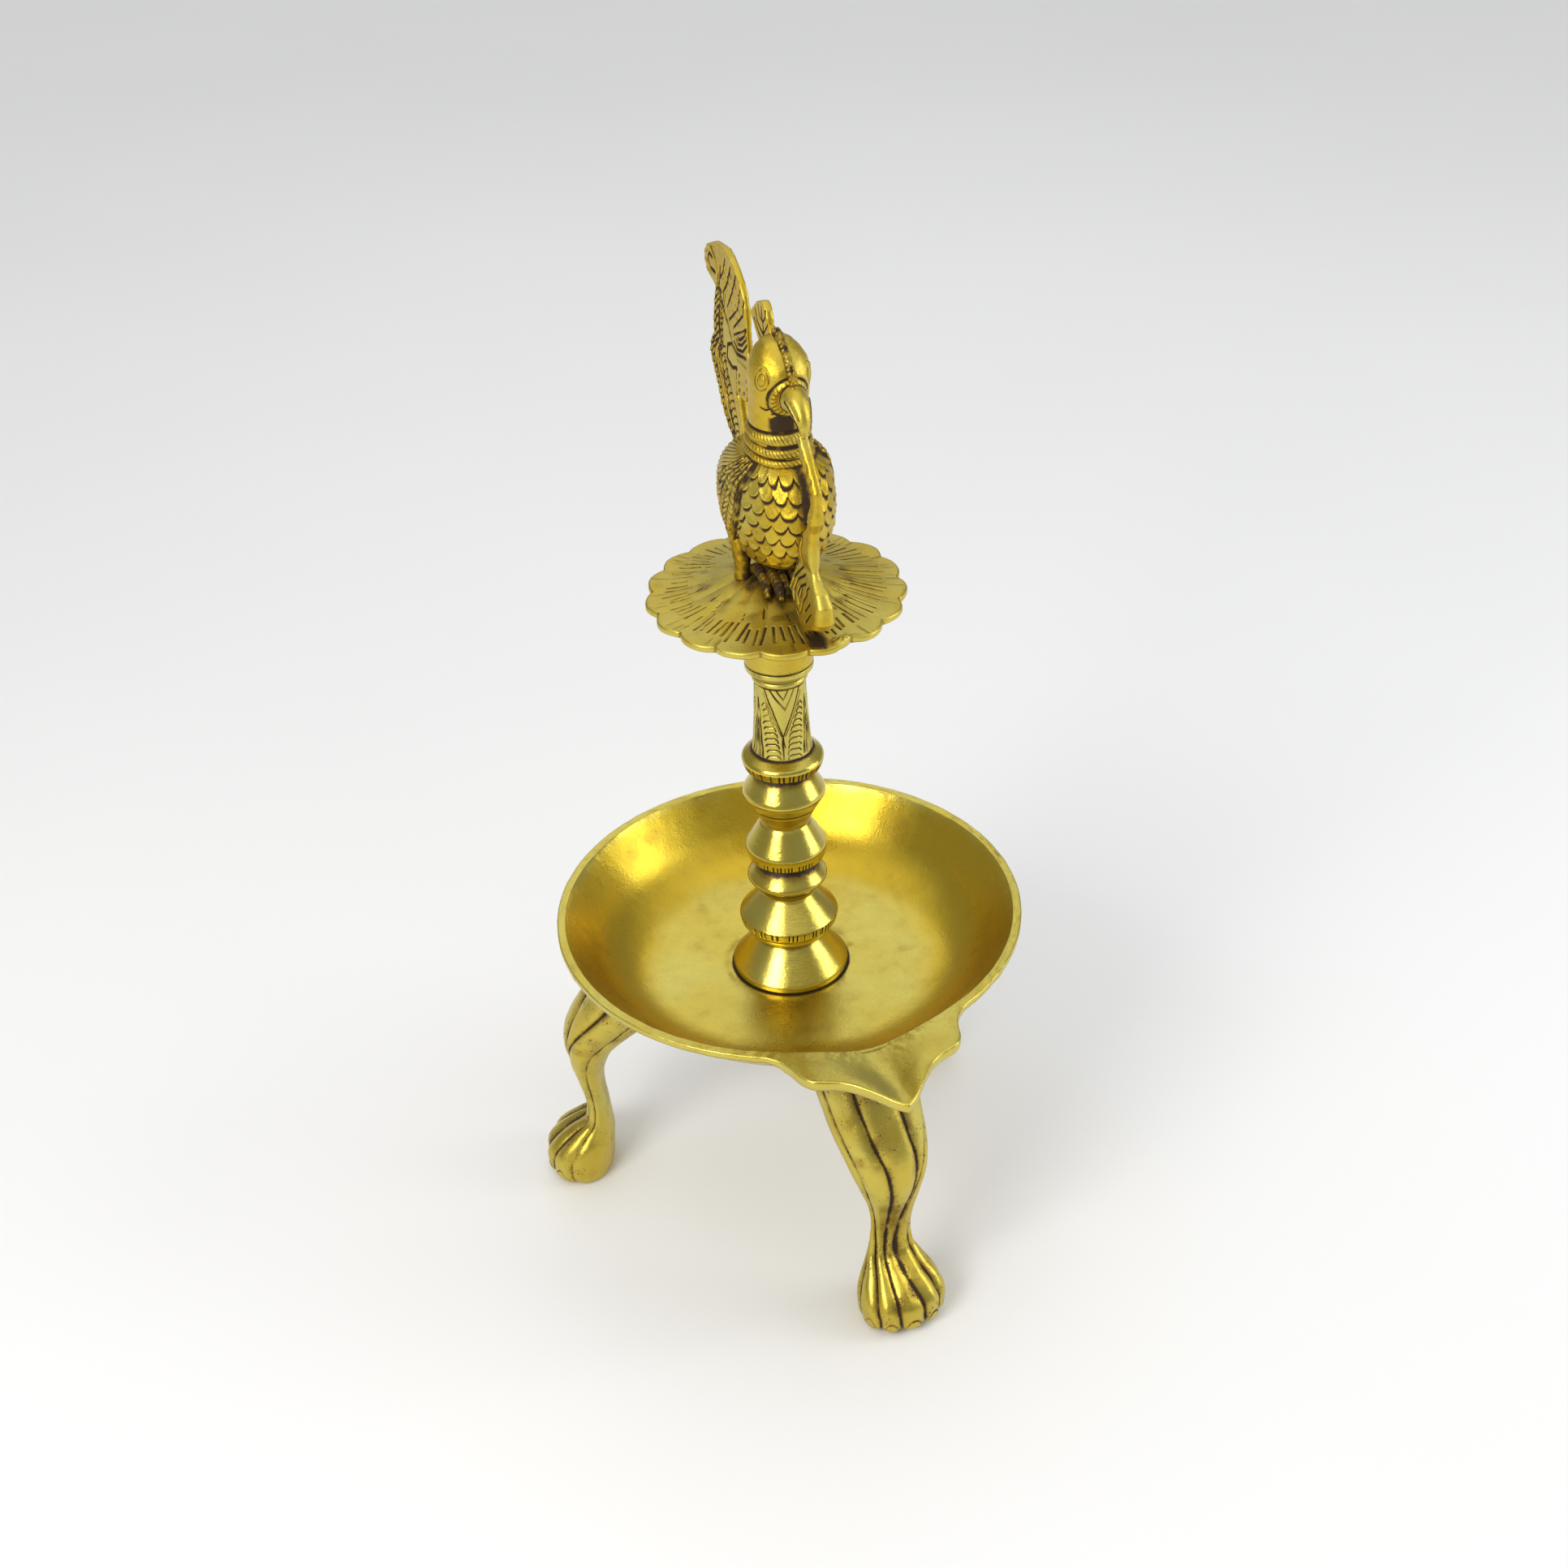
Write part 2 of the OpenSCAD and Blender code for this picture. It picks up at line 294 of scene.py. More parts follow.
def brass(name, rough=0.28, tone=0.4, pits=0.2, grain=0.25, rings=0.0, dull=0.0, wall=None):
    # satin brass: pale where polished, golden where it darkens, near black where the grime and the painted
    # shade lie
    material = bpy.data.materials.new(name)
    g = shaderGraph(material)
    spot = g.node("ShaderNodeTexCoord")["Object"]
    grime = g.node("ShaderNodeAttribute", {"attribute_name": "grime"})["Fac"]
    clouds = g.noise(spot, 45.0, 4.0)
    blotch = g.noise(spot, 160.0, 5.0, 0.6)
    speck = g.noise(spot, 950.0, 3.0, 0.6)
    fine = g.noise(spot, 2600.0, 2.0)
    pit = g.noise(spot, 1700.0, 1.0)
    hole = pit.rise(0.61, 0.66) * (blotch + grime * 0.6).rise(0.52, 0.68) * pits
    filmAndShade = grime * (0.2 + blotch * 0.7 + speck * 0.9)
    darkening = filmAndShade.rise(0.20, 0.62)
    darkened = (darkening + hole).within()
    golden = clouds.rise(0.3, 0.7) * tone + dull
    if wall:
        # painted reflection: deeper gold between two distances from the lamp's axis, standing in for the
        # darker reflection on the bowl's wall
        sockets = {0: g.stretch(spot, (1.0, 1.0, 0.0)), 1: (axisX * mm, axisY * mm, 0.0)}
        away = g.node("ShaderNodeVectorMath", {"operation": "DISTANCE"}, sockets)["Value"]
        golden = golden + away.rise(wall[0], wall[1]) * (1 - away.rise(wall[2], wall[3])) * 0.8
    metal = g.mix(golden.within(), brassColours["pale"], brassColours["gold"])
    metal = g.mix(blotch.rise(0.5, 0.85) * 0.45, metal, brassColours["bronze"])
    metal = g.mix(filmAndShade.rise(0.02, 0.36) * 0.75, metal, brassColours["brown"])
    colour = g.mix(darkened, metal, brassColours["dark"])
    roughness = (rough + (blotch - 0.5) * 0.16 + (fine - 0.5) * 0.08 + darkened * 0.3).within(0.08, 0.9)
    height = fine * grain + (1 - hole) * 0.6 + blotch * 1.1 + speck * 0.35
    if rings:
        lathe = g.noise(g.stretch(spot, (6.0, 6.0, 3800.0)), 1.0, 1.0)
        height = height + lathe * rings
    bump = g.node("ShaderNodeBump", None, {"Strength": 0.5, "Distance": 0.00022, "Height": height})["Normal"]
    sockets = {"Base Color": colour, "Metallic": 1 - darkened * 0.6, "Roughness": roughness, "Normal": bump}
    shader = g.node("ShaderNodeBsdfPrincipled", None, sockets)["BSDF"]
    g.node("ShaderNodeOutputMaterial", None, {"Surface": shader})
    return material


# the wall band paints the bowl's wall a deeper gold, a painted reflection
bowlBrass = brass("bowlBrass", rough=0.29, tone=0.35, pits=0.1, grain=0.4, dull=0.15,
                  wall=(0.040, 0.054, 0.069, 0.0735))
legBrass = brass("legBrass", rough=0.33, tone=0.6, pits=0.9, grain=0.6, dull=0.1)
turnedBrass = brass("turnedBrass", rough=0.21, tone=0.5, pits=0.05, grain=0.15, rings=0.3, dull=0.25)
engravedBrass = brass("engravedBrass", rough=0.38, tone=0.25, pits=0.3, grain=0.5)
plateBrass = brass("plateBrass", rough=0.37, tone=0.5, pits=0.3, grain=0.6, dull=0.3)
peacockBrass = brass("peacockBrass", rough=0.40, tone=0.8, pits=0.4, grain=0.7, dull=0.5)
collarBrass = brass("collarBrass", rough=0.36, tone=0.6, pits=0.8, grain=0.5, dull=0.5, rings=0.6)
hiddenBrass = brass("hiddenBrass", rough=0.45, tone=0.6, pits=0.6, grain=0.6, dull=0.4)
print("materials made")


def treeInputs(tree, inputs):
    names = {}
    tree.interface.new_socket("Geometry", in_out="INPUT", socket_type="NodeSocketGeometry")
    tree.interface.new_socket("Geometry", in_out="OUTPUT", socket_type="NodeSocketGeometry")
    for label, kind, value in inputs:
        socket = tree.interface.new_socket(label, in_out="INPUT", socket_type="NodeSocket" + kind)
        if value is not None:
            socket.default_value = value
        names[label] = socket.identifier
    return names


def finishTree(graph, geometry, material):
    realized = graph.node("GeometryNodeRealizeInstances", None, {"Geometry": geometry})["Geometry"]
    sockets = {"Geometry": realized, "Material": material}
    painted = graph.node("GeometryNodeSetMaterial", None, sockets)["Geometry"]
    graph.node("NodeGroupOutput", None, {"Geometry": painted})


def grow(source, tree, names, values):
    # runs a geometry tree on an object and keeps the plain mesh it gives
    modifier = source.modifiers.new("grow", "NODES")
    modifier.node_group = tree
    for label, value in values.items():
        modifier[names[label]] = value
    source.update_tag()
    bpy.context.view_layer.update()
    seen = source.evaluated_get(bpy.context.evaluated_depsgraph_get())
    mesh = bpy.data.meshes.new_from_object(seen)
    source.modifiers.remove(modifier)
    old = source.data
    source.data = mesh
    bpy.data.meshes.remove(old)
    mesh.shade_smooth()
    return source


# Geometry tree that turns a profile round the lamp's axis and files notches in one band of it
outsideOfBore = 0.0045
latheTree = bpy.data.node_groups.new("latheTurning", "GeometryNodeTree")
latheInputs = treeInputs(latheTree, [
    ("Around", "Int", 240), ("Notches", "Int", 0), ("Notch depth", "Float", 0.0004),
    ("Notch low", "Float", 0.0), ("Notch high", "Float", 0.0), ("Missing", "Float", 0.2),
    ("Wobble", "Float", 0.00006), ("Seed", "Int", 1), ("Centre", "Vector", None),
    ("Material", "Material", None)])


def buildLatheTree():
    g = Graph(latheTree)
    ask = g.node("NodeGroupInput")
    profile = ask["Geometry"]
    rows = g.node("GeometryNodeAttributeDomainSize", None, {"Geometry": profile})["Point Count"]
    sockets = {"Size X": 1.0, "Size Y": 1.0, "Vertices X": ask["Around"] + 1, "Vertices Y": rows}
    grid = g.node("GeometryNodeMeshGrid", None, sockets)["Mesh"]
    where = g.node("GeometryNodeInputPosition")["Position"]
    flat = g.node("ShaderNodeSeparateXYZ", None, {0: where})
    around = flat["X"] + 0.5
    row = ((flat["Y"] + 0.5) * (rows - 1)).call("ROUND")

    def ofProfile(kind, value):
        sockets = {"Geometry": profile, "Value": value, "Index": row}
        return g.node("GeometryNodeSampleIndex", {"data_type": kind, "domain": "POINT"}, sockets)["Value"]

    outline = g.node("ShaderNodeSeparateXYZ", None, {0: ofProfile("FLOAT_VECTOR", where)})
    radius, height = outline["X"], outline["Z"]
    count = around * ask["Notches"]
    which = count.call("FLOOR")
    chance = g.chance({"ID": which, "Seed": ask["Seed"]})
    drift = (chance - 0.5) * 0.5
    offset = (count - which - 0.5 + drift).call("ABSOLUTE")
    inBand = (height > ask["Notch low"]) * (height < ask["Notch high"])
    cut = (1 - offset.rise(0.08, 0.2)) * inBand * (chance > ask["Missing"]) * (0.5 + chance)
    angle = around * turnFull
    cosine, sine = angle.call("COSINE"), angle.call("SINE")
    lumps = g.noise(g.combine(cosine, sine, height * 90.0), 2.0, 2.0)
    onSkin = radius > outsideOfBore
    finalRadius = radius - cut * ask["Notch depth"] + (lumps - 0.5) * ask["Wobble"] * onSkin
    spot = g.combine(finalRadius * cosine, finalRadius * sine, height)
    centred = g.node("ShaderNodeVectorMath", {"operation": "ADD"}, {0: spot, 1: ask["Centre"]})[0]
    soil = ofProfile("FLOAT", g.stored("FLOAT", "soil"))
    darkening = (soil * (0.4 + lumps * 1.2) + cut * 0.9).within()
    grimed = g.keepGrime(grid, darkening)
    turned = g.node("GeometryNodeSetPosition", None, {"Geometry": grimed, "Position": centred})["Geometry"]
    joined = g.node("GeometryNodeMergeByDistance", None, {"Geometry": turned, "Distance": 0.000001})
    finishTree(g, joined["Geometry"], ask["Material"])


buildLatheTree()


def roundedOutline(corners, radius=0.35, step=0.5):
    # softens the corners of a turned outline and adds points along its straight runs
    corners = [np.array(c, float) for c in corners]
    points = [corners[0]]
    for before, here, after in zip(corners[:-2], corners[1:-1], corners[2:]):
        reach = min(radius, np.linalg.norm(before - here) * 0.4, np.linalg.norm(after - here) * 0.4)
        enter = here + (before - here) / np.linalg.norm(before - here) * reach
        leave = here + (after - here) / np.linalg.norm(after - here) * reach
        for t in np.linspace(0, 1, 5):
            points.append((1 - t) ** 2 * enter + 2 * t * (1 - t) * here + t * t * leave)
    points.append(corners[-1])
    filled = [points[0]]
    for a, b in zip(points[:-1], points[1:]):
        pieces = max(1, math.ceil(np.linalg.norm(b - a) / step))
        filled += [a + (b - a) * k / pieces for k in range(1, pieces + 1)]
    return np.array(filled)


latheAround = 380


def turnPiece(name, node, corners, material, soilAndShadeSets, seed, band=None, notches=0, depth=0.45, missing=0.28,
              bore=3.2):
    # corners are [radius, height above the piece's own foot]; soilAndShadeSets are [height, reach, amount]
    foot = span(node, 2)[0]
    low, high = [bore, corners[0][1]], [bore, corners[-1][1]]
    outline = np.concatenate([[low], roundedOutline(corners), [high], [low]])
    soil = np.zeros(len(outline))
    for height, reach, amount in soilAndShadeSets:
        soil = np.maximum(soil, amount * bell(outline[:, 1] - height, reach))
    points = np.stack([outline[:, 0], np.zeros(len(outline)), outline[:, 1] + foot], -1) * mm
    made = makeObject(name, points, [], {"soil": soil})
    values = {"Notches": notches, "Notch depth": depth * mm, "Missing": missing, "Seed": seed,
              "Centre": (axisX * mm, axisY * mm, 0.0), "Material": material, "Around": latheAround}
    if band:
        values["Notch low"], values["Notch high"] = [(foot + b) * mm for b in band]
    grow(made, latheTree, latheInputs, values)
    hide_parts(node)
    return made


baseLook = {"notches": 74, "band": (18.9, 21.3), "depth": 0.38, "seed": 3}
middleLook = {"notches": 66, "band": (0.8, 3.2), "depth": 0.36, "seed": 5}
ringLook = {"notches": 52, "band": (0.6, 3.3), "depth": 0.40, "seed": 9}

stemBase = turnPiece("stemFoot", "stem_base", [
    (18.2, 0), (18.7, 0.5), (18.6, 2.2), (18.1, 2.9), (10.6, 12.0), (10.2, 12.6), (10.6, 13.3),
    (12.4, 14.2), (13.7, 15.6), (13.9, 16.8), (13.6, 17.6), (15.4, 18.4), (15.9, 20.9), (15.6, 21.5),
    (8.7, 28.8), (8.2, 29.6), (8.7, 30.2), (9.0, 31.0), (10.3, 32.2), (10.35, 32.9), (10.8, 33.2),
    (12.5, 35.0), (12.8, 35.7), (12.5, 36.5), (8.4, 41.8), (8.0, 42.8)], turnedBrass,
    [(0, 0.7, 1.0), (12.6, 1.0, 0.35), (32.9, 0.5, 0.8), (42.2, 2.6, 0.95), (17.4, 0.8, 0.25)], **baseLook)
stemMiddle = turnPiece("stemMiddle", "stem_middle", [
    (8.0, 0), (8.0, 0.4), (11.6, 0.5), (12.3, 1.1), (12.9, 4.9), (12.6, 5.7), (8.2, 13.2), (7.6, 13.9),
    (7.9, 15.0), (9.2, 17.6), (10.2, 19.6), (10.25, 20.5), (11.2, 21.2), (12.9, 24.4), (13.0, 25.3),
    (12.6, 26.4), (8.6, 33.0), (8.2, 34.0)], turnedBrass,
    [(0, 0.6, 1.0), (20.5, 0.45, 0.55), (33.6, 2.2, 0.95), (13.9, 0.8, 0.15)], **middleLook)
knurledRing = turnPiece("knurledRing", "knurled_ring", [
    (8.2, 0), (8.2, 0.4), (11.6, 0.5), (12.1, 0.9), (12.8, 3.2), (12.8, 4.0), (12.3, 4.8), (9.8, 6.7),
    (9.4, 7.0)], turnedBrass, [(0, 0.6, 1.0), (7.0, 0.5, 0.9)], **ringLook)
collar = turnPiece("plateCollar", "plate_collar", [
    (10.3, 0), (10.5, 0.3), (10.5, 12), (10.45, 24.9), (10.3, 25.4)], collarBrass,
    [(0, 0.5, 0.9), (25, 3.0, 0.7)], seed=4)
for made, body in ((stemBase, "stem"), (stemMiddle, "stem"), (knurledRing, "stem"), (collar, "finial")):
    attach(made, body)
print("turned pieces made")


# Bowl: rows run from under the floor, up the outside, over the rim and down the inside
bowlLook = {"around": 600, "rimInner": 72.3, "floorRadius": 42.0, "slope": 52.0, "outerSlope": 44.0,
            "outerTop": 73.6, "outerRun": 81, "wall": 3.5, "edge": 2.6, "dent": 0.22, "hammer": 0.16,
            "bore": 3.3, "lipSag": 0.9, "channelDeep": 3.0, "earWide": 23, "footRing": 18.8}
spoutEdge = {"angles": [0, 1.2, 2.8, 5.0, 8.4, 11.0, 13.2, 15.6, 17.6, 19.4, 21.6, 24.4, 29.0],
             "reach": [101.7, 100.4, 98.0, 94.0, 89.4, 87.7, 87.4, 86.8, 84.4, 80.6, 77.4, 75.6, 75.0]}


def wallCurve(slope, t, depth, radius0, radius1):
    # flat floor, round corner and straight wall; t runs 0 to 1 from the centre to the rim
    slope = math.radians(slope)
    run = (radius1 - radius0) * math.tan(slope) - depth
    corner = run / (math.sin(slope) * math.tan(slope) - (1 - math.cos(slope)))
    straight = (radius1 - radius0 - corner * math.sin(slope)) / math.cos(slope)
    lengths = np.cumsum([0, radius0, corner * slope, straight])
    s = t * lengths[-1]
    bend = np.clip((s - lengths[1]) / corner, 0, slope)
    rest = np.clip(s - lengths[2], 0, None)
    r = np.minimum(s, radius0) + corner * np.sin(bend) + rest * math.cos(slope)
    return r, corner * (1 - np.cos(bend)) + rest * math.sin(slope)


def makeBowl(look):
    n = look["around"]
    u = np.linspace(-math.pi, math.pi, 4001)
    crowd = np.cumsum(1 + 2.4 * bell(u, math.radians(24)))
    angle = np.interp(np.arange(n) / n * (crowd[-1] - crowd[0]) + crowd[0], crowd, u)
    degrees = np.abs(np.degrees(angle))
    edge = curveThrough(np.minimum(degrees, spoutEdge["angles"][-1]), spoutEdge["angles"], spoutEdge["reach"])
    spoutness = ramp(edge, 75.05, 78.0)
    depth = rimHeight - bowlFloor
    under = bowlFloor - look["wall"]
    rows = []

    def addRow(radius, height, grime=0.0):
        rows.append([radius + np.zeros(n), height + np.zeros(n), np.full(n, grime)])

    tOut = np.concatenate([np.linspace(look["bore"] / look["outerRun"], 0.5, 10), np.linspace(0.53, 1, 22)])
    rOut, zOut = wallCurve(look["outerSlope"], tOut, rimHeight - look["edge"] - under, look["floorRadius"],
                           look["outerTop"])
    for r, z in zip(rOut, zOut):
        addRow(r, under + z)
    lipBase = np.full(n, look["outerTop"] + 0.3)
    lipSteps = np.linspace(0.15, 1, 8)
    for k in lipSteps:
        r = lipBase + (edge - 0.5 - lipBase) * k * spoutness
        addRow(r, rimHeight - look["edge"] - look["lipSag"] * spoutness * k)
    bottom = rimHeight - look["edge"] - look["lipSag"] * spoutness
    edgeSteps = ((0.2, 0.12), (0.5, 0.0), (0.8, 0.02), (0.95, 0.12))
    for fraction, back in edgeSteps:
        addRow(edge - back, bottom + (rimHeight - bottom) * fraction, 0.06)
    inner = np.full(n, look["rimInner"])
    rimSteps = np.concatenate([[0.02], np.linspace(0.06, 1, 32)])
    for k in rimSteps:
        addRow(edge - 0.3 + (inner - edge + 0.3) * k, rimHeight)
    rIn, zIn = wallCurve(look["slope"], np.linspace(0.995, 0.5, 44), depth, look["floorRadius"],
                         look["rimInner"])
    # rows crowd together where the dark ring lies
    flatRows = np.concatenate([np.linspace(rIn[-1] - 1, 24, 9), np.linspace(23, 17.6, 22),
                               np.linspace(16, look["bore"], 6)])
    rIn, zIn = np.concatenate([rIn, flatRows]), np.concatenate([zIn, 0 * flatRows])
    for r, z in zip(rIn, zIn):
        addRow(r, bowlFloor + z)
    r, z, grime = np.array(rows).transpose(1, 0, 2)
    firstLip = len(tOut)
    firstTop = firstLip + len(lipSteps)
    firstInside = firstTop + len(edgeSteps) + len(rimSteps)
    row = np.arange(len(rows))[:, None] * np.ones(n)
    below = (row < firstLip) * 1.0
    onTop = (row >= firstTop) * 1.0
    inside = (row >= firstInside) * 1.0
    along, across = r * np.cos(angle), r * np.sin(angle)
    # the spout is dished: a broad channel runs from the bowl's wall out to the tip
    channel = bell(across, 5.0 + 9.0 * ramp(96 - along, 0, 26))
    reach = ramp(along, 58, 74) * (1 - 0.55 * ramp(along, 80, 101))
    dish = look["channelDeep"] * channel * reach * (np.abs(angle) < 0.6)
    ears = 0.9 * bell(np.abs(across) - look["earWide"], 5) * ramp(along, 70, 80) * (along > 60)
    z = z - (dish - ears * 0.6) * np.where(below > 0, 0, np.where(onTop > 0, 1, 0.85))
    points = np.stack([along, across, z], -1)
    dents = softNoise(points, 17.0, 11) * 0.65 + softNoise(points, 8.0, 12) * 0.25
    z = z + dents * look["dent"] * inside * ramp(r, 20, 34)
    points[..., :2] *= (1 - dents * look["dent"] * inside / np.maximum(r, 30) * ramp(r, 42, 60))[..., None]
    points[..., 2] = z
    onRim = (np.abs(z - rimHeight) < 3.4) & (r > 71.4)
    hammer = softNoise(points, 2.6, 21) * 0.6 + softNoise(points, 1.2, 22) * 0.4
    points[..., 2] += hammer * look["hammer"] * onRim * (1 - 0.7 * ramp(r, 75, 79))
    ragged = 1 + softNoise(points, 3.5, 23) * 0.12 / 75 * (r > 74)
    points[..., :2] *= ragged[..., None]
    # dark ring of old oil round the stem's foot, and stains
    ring = bell(r - look["footRing"], 0.5) * (0.62 + 0.5 * softNoise(points, 6.0, 31))
    smear = bell(r - look["footRing"] - 2.0, 1.7) * (0.10 + 0.26 * softNoise(points, 3.0, 32))
    smear = smear * (z > under + 1)
    creep = 0.16 * ramp(softNoise(points, 9.0, 33), 0.45, 0.9) * inside
    grime = grime + np.clip((ring + smear) * onTop, 0, 1) + creep
    grime = grime + 0.22 * below * (1 + softNoise(points, 12.0, 34))
    return shell("oilBowl", place(points, spoutTurn), grime, bored=True)


# the leg rivets are hammered flush, so the polished floor covers them
bowl = makeBowl(bowlLook)
handOver(bowl, bowlBrass, "bowl", "stand")
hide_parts("leg_rivets")
print("bowl made")


def loft(slices, count, around, power=2.0, crowd=0.0):
    # skin through horizontal sections of [height, back, front, half width]; gives the points and their turns
    slices = np.array(slices, float)
    fine = np.linspace(slices[0, 0], slices[-1, 0], 3000)
    back, front, half = (curveThrough(fine, slices[:, 0], slices[:, k]) for k in (1, 2, 3))
    side = np.max([np.abs(np.diff(back)), np.abs(np.diff(front)), np.abs(np.diff(half))], axis=0)
    run = np.cumsum(np.concatenate([[0], np.hypot(np.diff(fine), side)]))
    z = np.interp(np.linspace(0, run[-1], count), run, fine)
    back, front, half = (np.interp(z, fine, v)[:, None] for v in (back, front, half))
    turn = np.linspace(-math.pi, math.pi, around, endpoint=False)
    turn = turn - crowd * np.sin(turn)
    c, s = np.cos(turn), np.sin(turn)
    x = (back + front) / 2 + (front - back) / 2 * np.sign(c) * np.abs(c) ** (2 / power)
    y = half * np.sign(s) * np.abs(s) ** (2 / power)
    points = np.stack([x, y, np.broadcast_to(z[:, None], x.shape)], -1)
    return points, np.broadcast_to(np.degrees(turn), x.shape)


def pushOut(points, amount):
    # moves a lofted skin along its own normals
    along = np.roll(points, -1, axis=1) - np.roll(points, 1, axis=1)
    up = np.gradient(points, axis=0)
    normal = np.cross(along, up)
    normal /= np.maximum(np.linalg.norm(normal, axis=-1, keepdims=True), 1e-9)
    return points + normal * amount[..., None]


# Legs: a shank of long flutes that opens into a paw with five toes
legLook = {"around": 220, "rows": 300, "flute": 4.3, "depth": 1.65, "toeDepth": 1.75, "soil": 0.62,
           "letIn": 0.4}
legSlices = [
    (0, 67, 83.2, 11.4), (1.2, 66, 85.8, 13.0), (3, 65.4, 87.6, 13.8), (7, 65, 88.4, 14.4),
    (11, 64.6, 87.6, 14.3), (15, 64.4, 84.8, 12.9), (19, 64.5, 80.0, 10.3), (23, 64.8, 74.8, 8.3),
    (28, 65.3, 73.2, 7.3), (34, 66, 73.4, 7.15), (42, 66, 75.4, 7.9), (49, 64, 77.4, 9.6),
    (56, 60.5, 78.4, 12), (62, 55, 78, 13.6), (68, 48.5, 76, 14.8), (75, 42, 72.2, 15.6),
    (82, 36, 68, 16), (90, 31, 63, 16), (97, 30, 59, 15.6), (104, 42, 46, 2.0)]
fluteHeights = [0, 5, 15, 19, 27, 34, 44, 54, 64, 74, 90]
wholeFlute = [1] * 11
faintFlute = [.7, .7, .6, .5, .5, .5, .5, .5, .5, .5, .5]
flutes = [
    {"turns": [-50, -52, -56, -58, -62, -70, -78, -72, -69, -76, -82], "strength": wholeFlute},
    {"turns": [-19, -20, -24, -27, -27, -23, -20, -16, -20, -28, -34], "strength": wholeFlute},
    {"turns": [13, 12, 8, 3, 1, 11, 21, 29, 26, 18, 12], "strength": wholeFlute},
    {"turns": [42, 42, 43, 44, 45, 48, 50, 52, 54, 58, 60], "strength": [1, 1, 1, .9, .6, .1, 0, 0, 0, 0, 0]},
    {"turns": [30, 30, 30, 30, 28, 26, 27, 38, 50, 62, 70], "strength": [0, 0, 0, 0, 0, 0, .5, .9, 1, 1, 1]},
    {"turns": [84, 84, 84, 86, 90, 92, 92, 96, 104, 112, 118], "strength": faintFlute},
    {"turns": [-96, -96, -98, -100, -104, -106, -110, -112, -118, -124, -128], "strength": faintFlute}]
toeTurns = (-35, -4, 27, 62, -72)


def bowlUnderside(radius):
    under = bowlFloor - bowlLook["wall"]
    r, z = wallCurve(bowlLook["outerSlope"], np.linspace(0.3, 1, 200), rimHeight - bowlLook["edge"] - under,
                     bowlLook["floorRadius"], bowlLook["outerTop"])
    return np.interp(radius, r, under + z)


def makeLeg(name, node, bearing, look, seed):
    points, turn = loft(legSlices, look["rows"], look["around"], 2.15, 0.25)
    z = points[..., 2]
    radius = np.hypot(points[..., 0] - points[..., 0].mean(1, keepdims=True), points[..., 1])
    wander = softNoise(points, 7.0, seed) * 1.6
    push = np.zeros_like(z)
    soil = np.zeros_like(z)
    paw = 1 - ramp(z, 12, 20)
    for line in flutes:
        at = curveThrough(z, fluteHeights, line["turns"])
        strength = np.interp(z, fluteHeights, line["strength"])
        away = np.abs((turn - at + wander * 0.6 + 180) % 360 - 180) * radius * math.pi / 180
        near = 1 - np.minimum(away / look["flute"], 1)
        depth = (look["depth"] + (look["toeDepth"] - look["depth"]) * paw) * strength
        push = np.minimum(push, -depth * (1 - np.sqrt(np.maximum(1 - near ** 2, 0))))
        soil = np.maximum(soil, strength * (0.7 * bell(away, 0.38) + 0.22 * bell(away, 1.4)))
    # knuckles and a nail line on every toe
    front = np.cos(np.radians(turn)).clip(0, 1)
    knuckle = bell(z - 10.5, 3.2) * 0.5 + bell(z - 3.8, 2.2) * 0.35
    push += knuckle * front
    for toe in toeTurns:
        side = (turn - toe) / 11
        nail = z - (6.6 - 3.4 * side ** 2)
        inside = np.abs(side) < 1.1
        push -= 0.28 * bell(nail, 0.4) * inside
        soil = np.maximum(soil, 0.7 * bell(nail, 0.35) * inside)
    push += softNoise(points, 5.0, seed + 1) * 0.14 + softNoise(points, 1.6, seed + 2) * 0.035
    # the leg is darker towards its top, and the top is given painted shade under the bowl
    darkerTowardsTop = 0.06 + 0.12 * ramp(z, 48, 84) * (1 + softNoise(points, 5.0, seed + 3))
    broken = 0.62 + 0.55 * softNoise(points, 3.2, seed + 4)
    shade = ramp(z, 80, 100) * 0.35
    soil = np.clip(soil * broken * look["soil"] * 1.7, 0, 1) + darkerTowardsTop * (0.5 + soil) + shade
    soil = soil + 0.16 * ramp(softNoise(points, 6.0, seed + 5), 0.3, 0.9)
    points = pushOut(points, push * ramp(z, -2.0, 1.6))
    # the top is let into the bowl's underside
    under = bowlUnderside(np.hypot(points[..., 0], points[..., 1])) + look["letIn"]
    points[..., 2] = np.clip(points[..., 2], 0.0, under)
    handOver(shell(name, place(points, bearing), soil), legBrass, node, "stand")


legPieces = (("pawFront", "leg_front", 40), ("pawRight", "leg_right", 50), ("pawLeft", "leg_left", 60))
for name, node, seed in legPieces:
    legX, legY, _ = middle(node)
    makeLeg(name, node, math.atan2(legY - axisY, legX - axisX), legLook, seed)
print("legs made")


# Engraved sleeve: three pointed panels, and columns of small arches between them
sleeveLook = {"around": 380, "panels": 3, "cut": 0.30, "line": 0.30, "bearing": -105.0, "meanRadius": 8.6,
              "engravedTo": 24.4}
sleeveOutline = [(9.4, 0), (8.9, 4), (8.35, 13), (7.9, 24.4), (8.1, 24.9), (8.55, 25.4), (8.55, 26.1),
                 (8.15, 26.7), (8.3, 27.0), (9.4, 28.0), (10.4, 29.0), (10.5, 29.5), (10.5, 30.6),
                 (10.3, 30.8)]


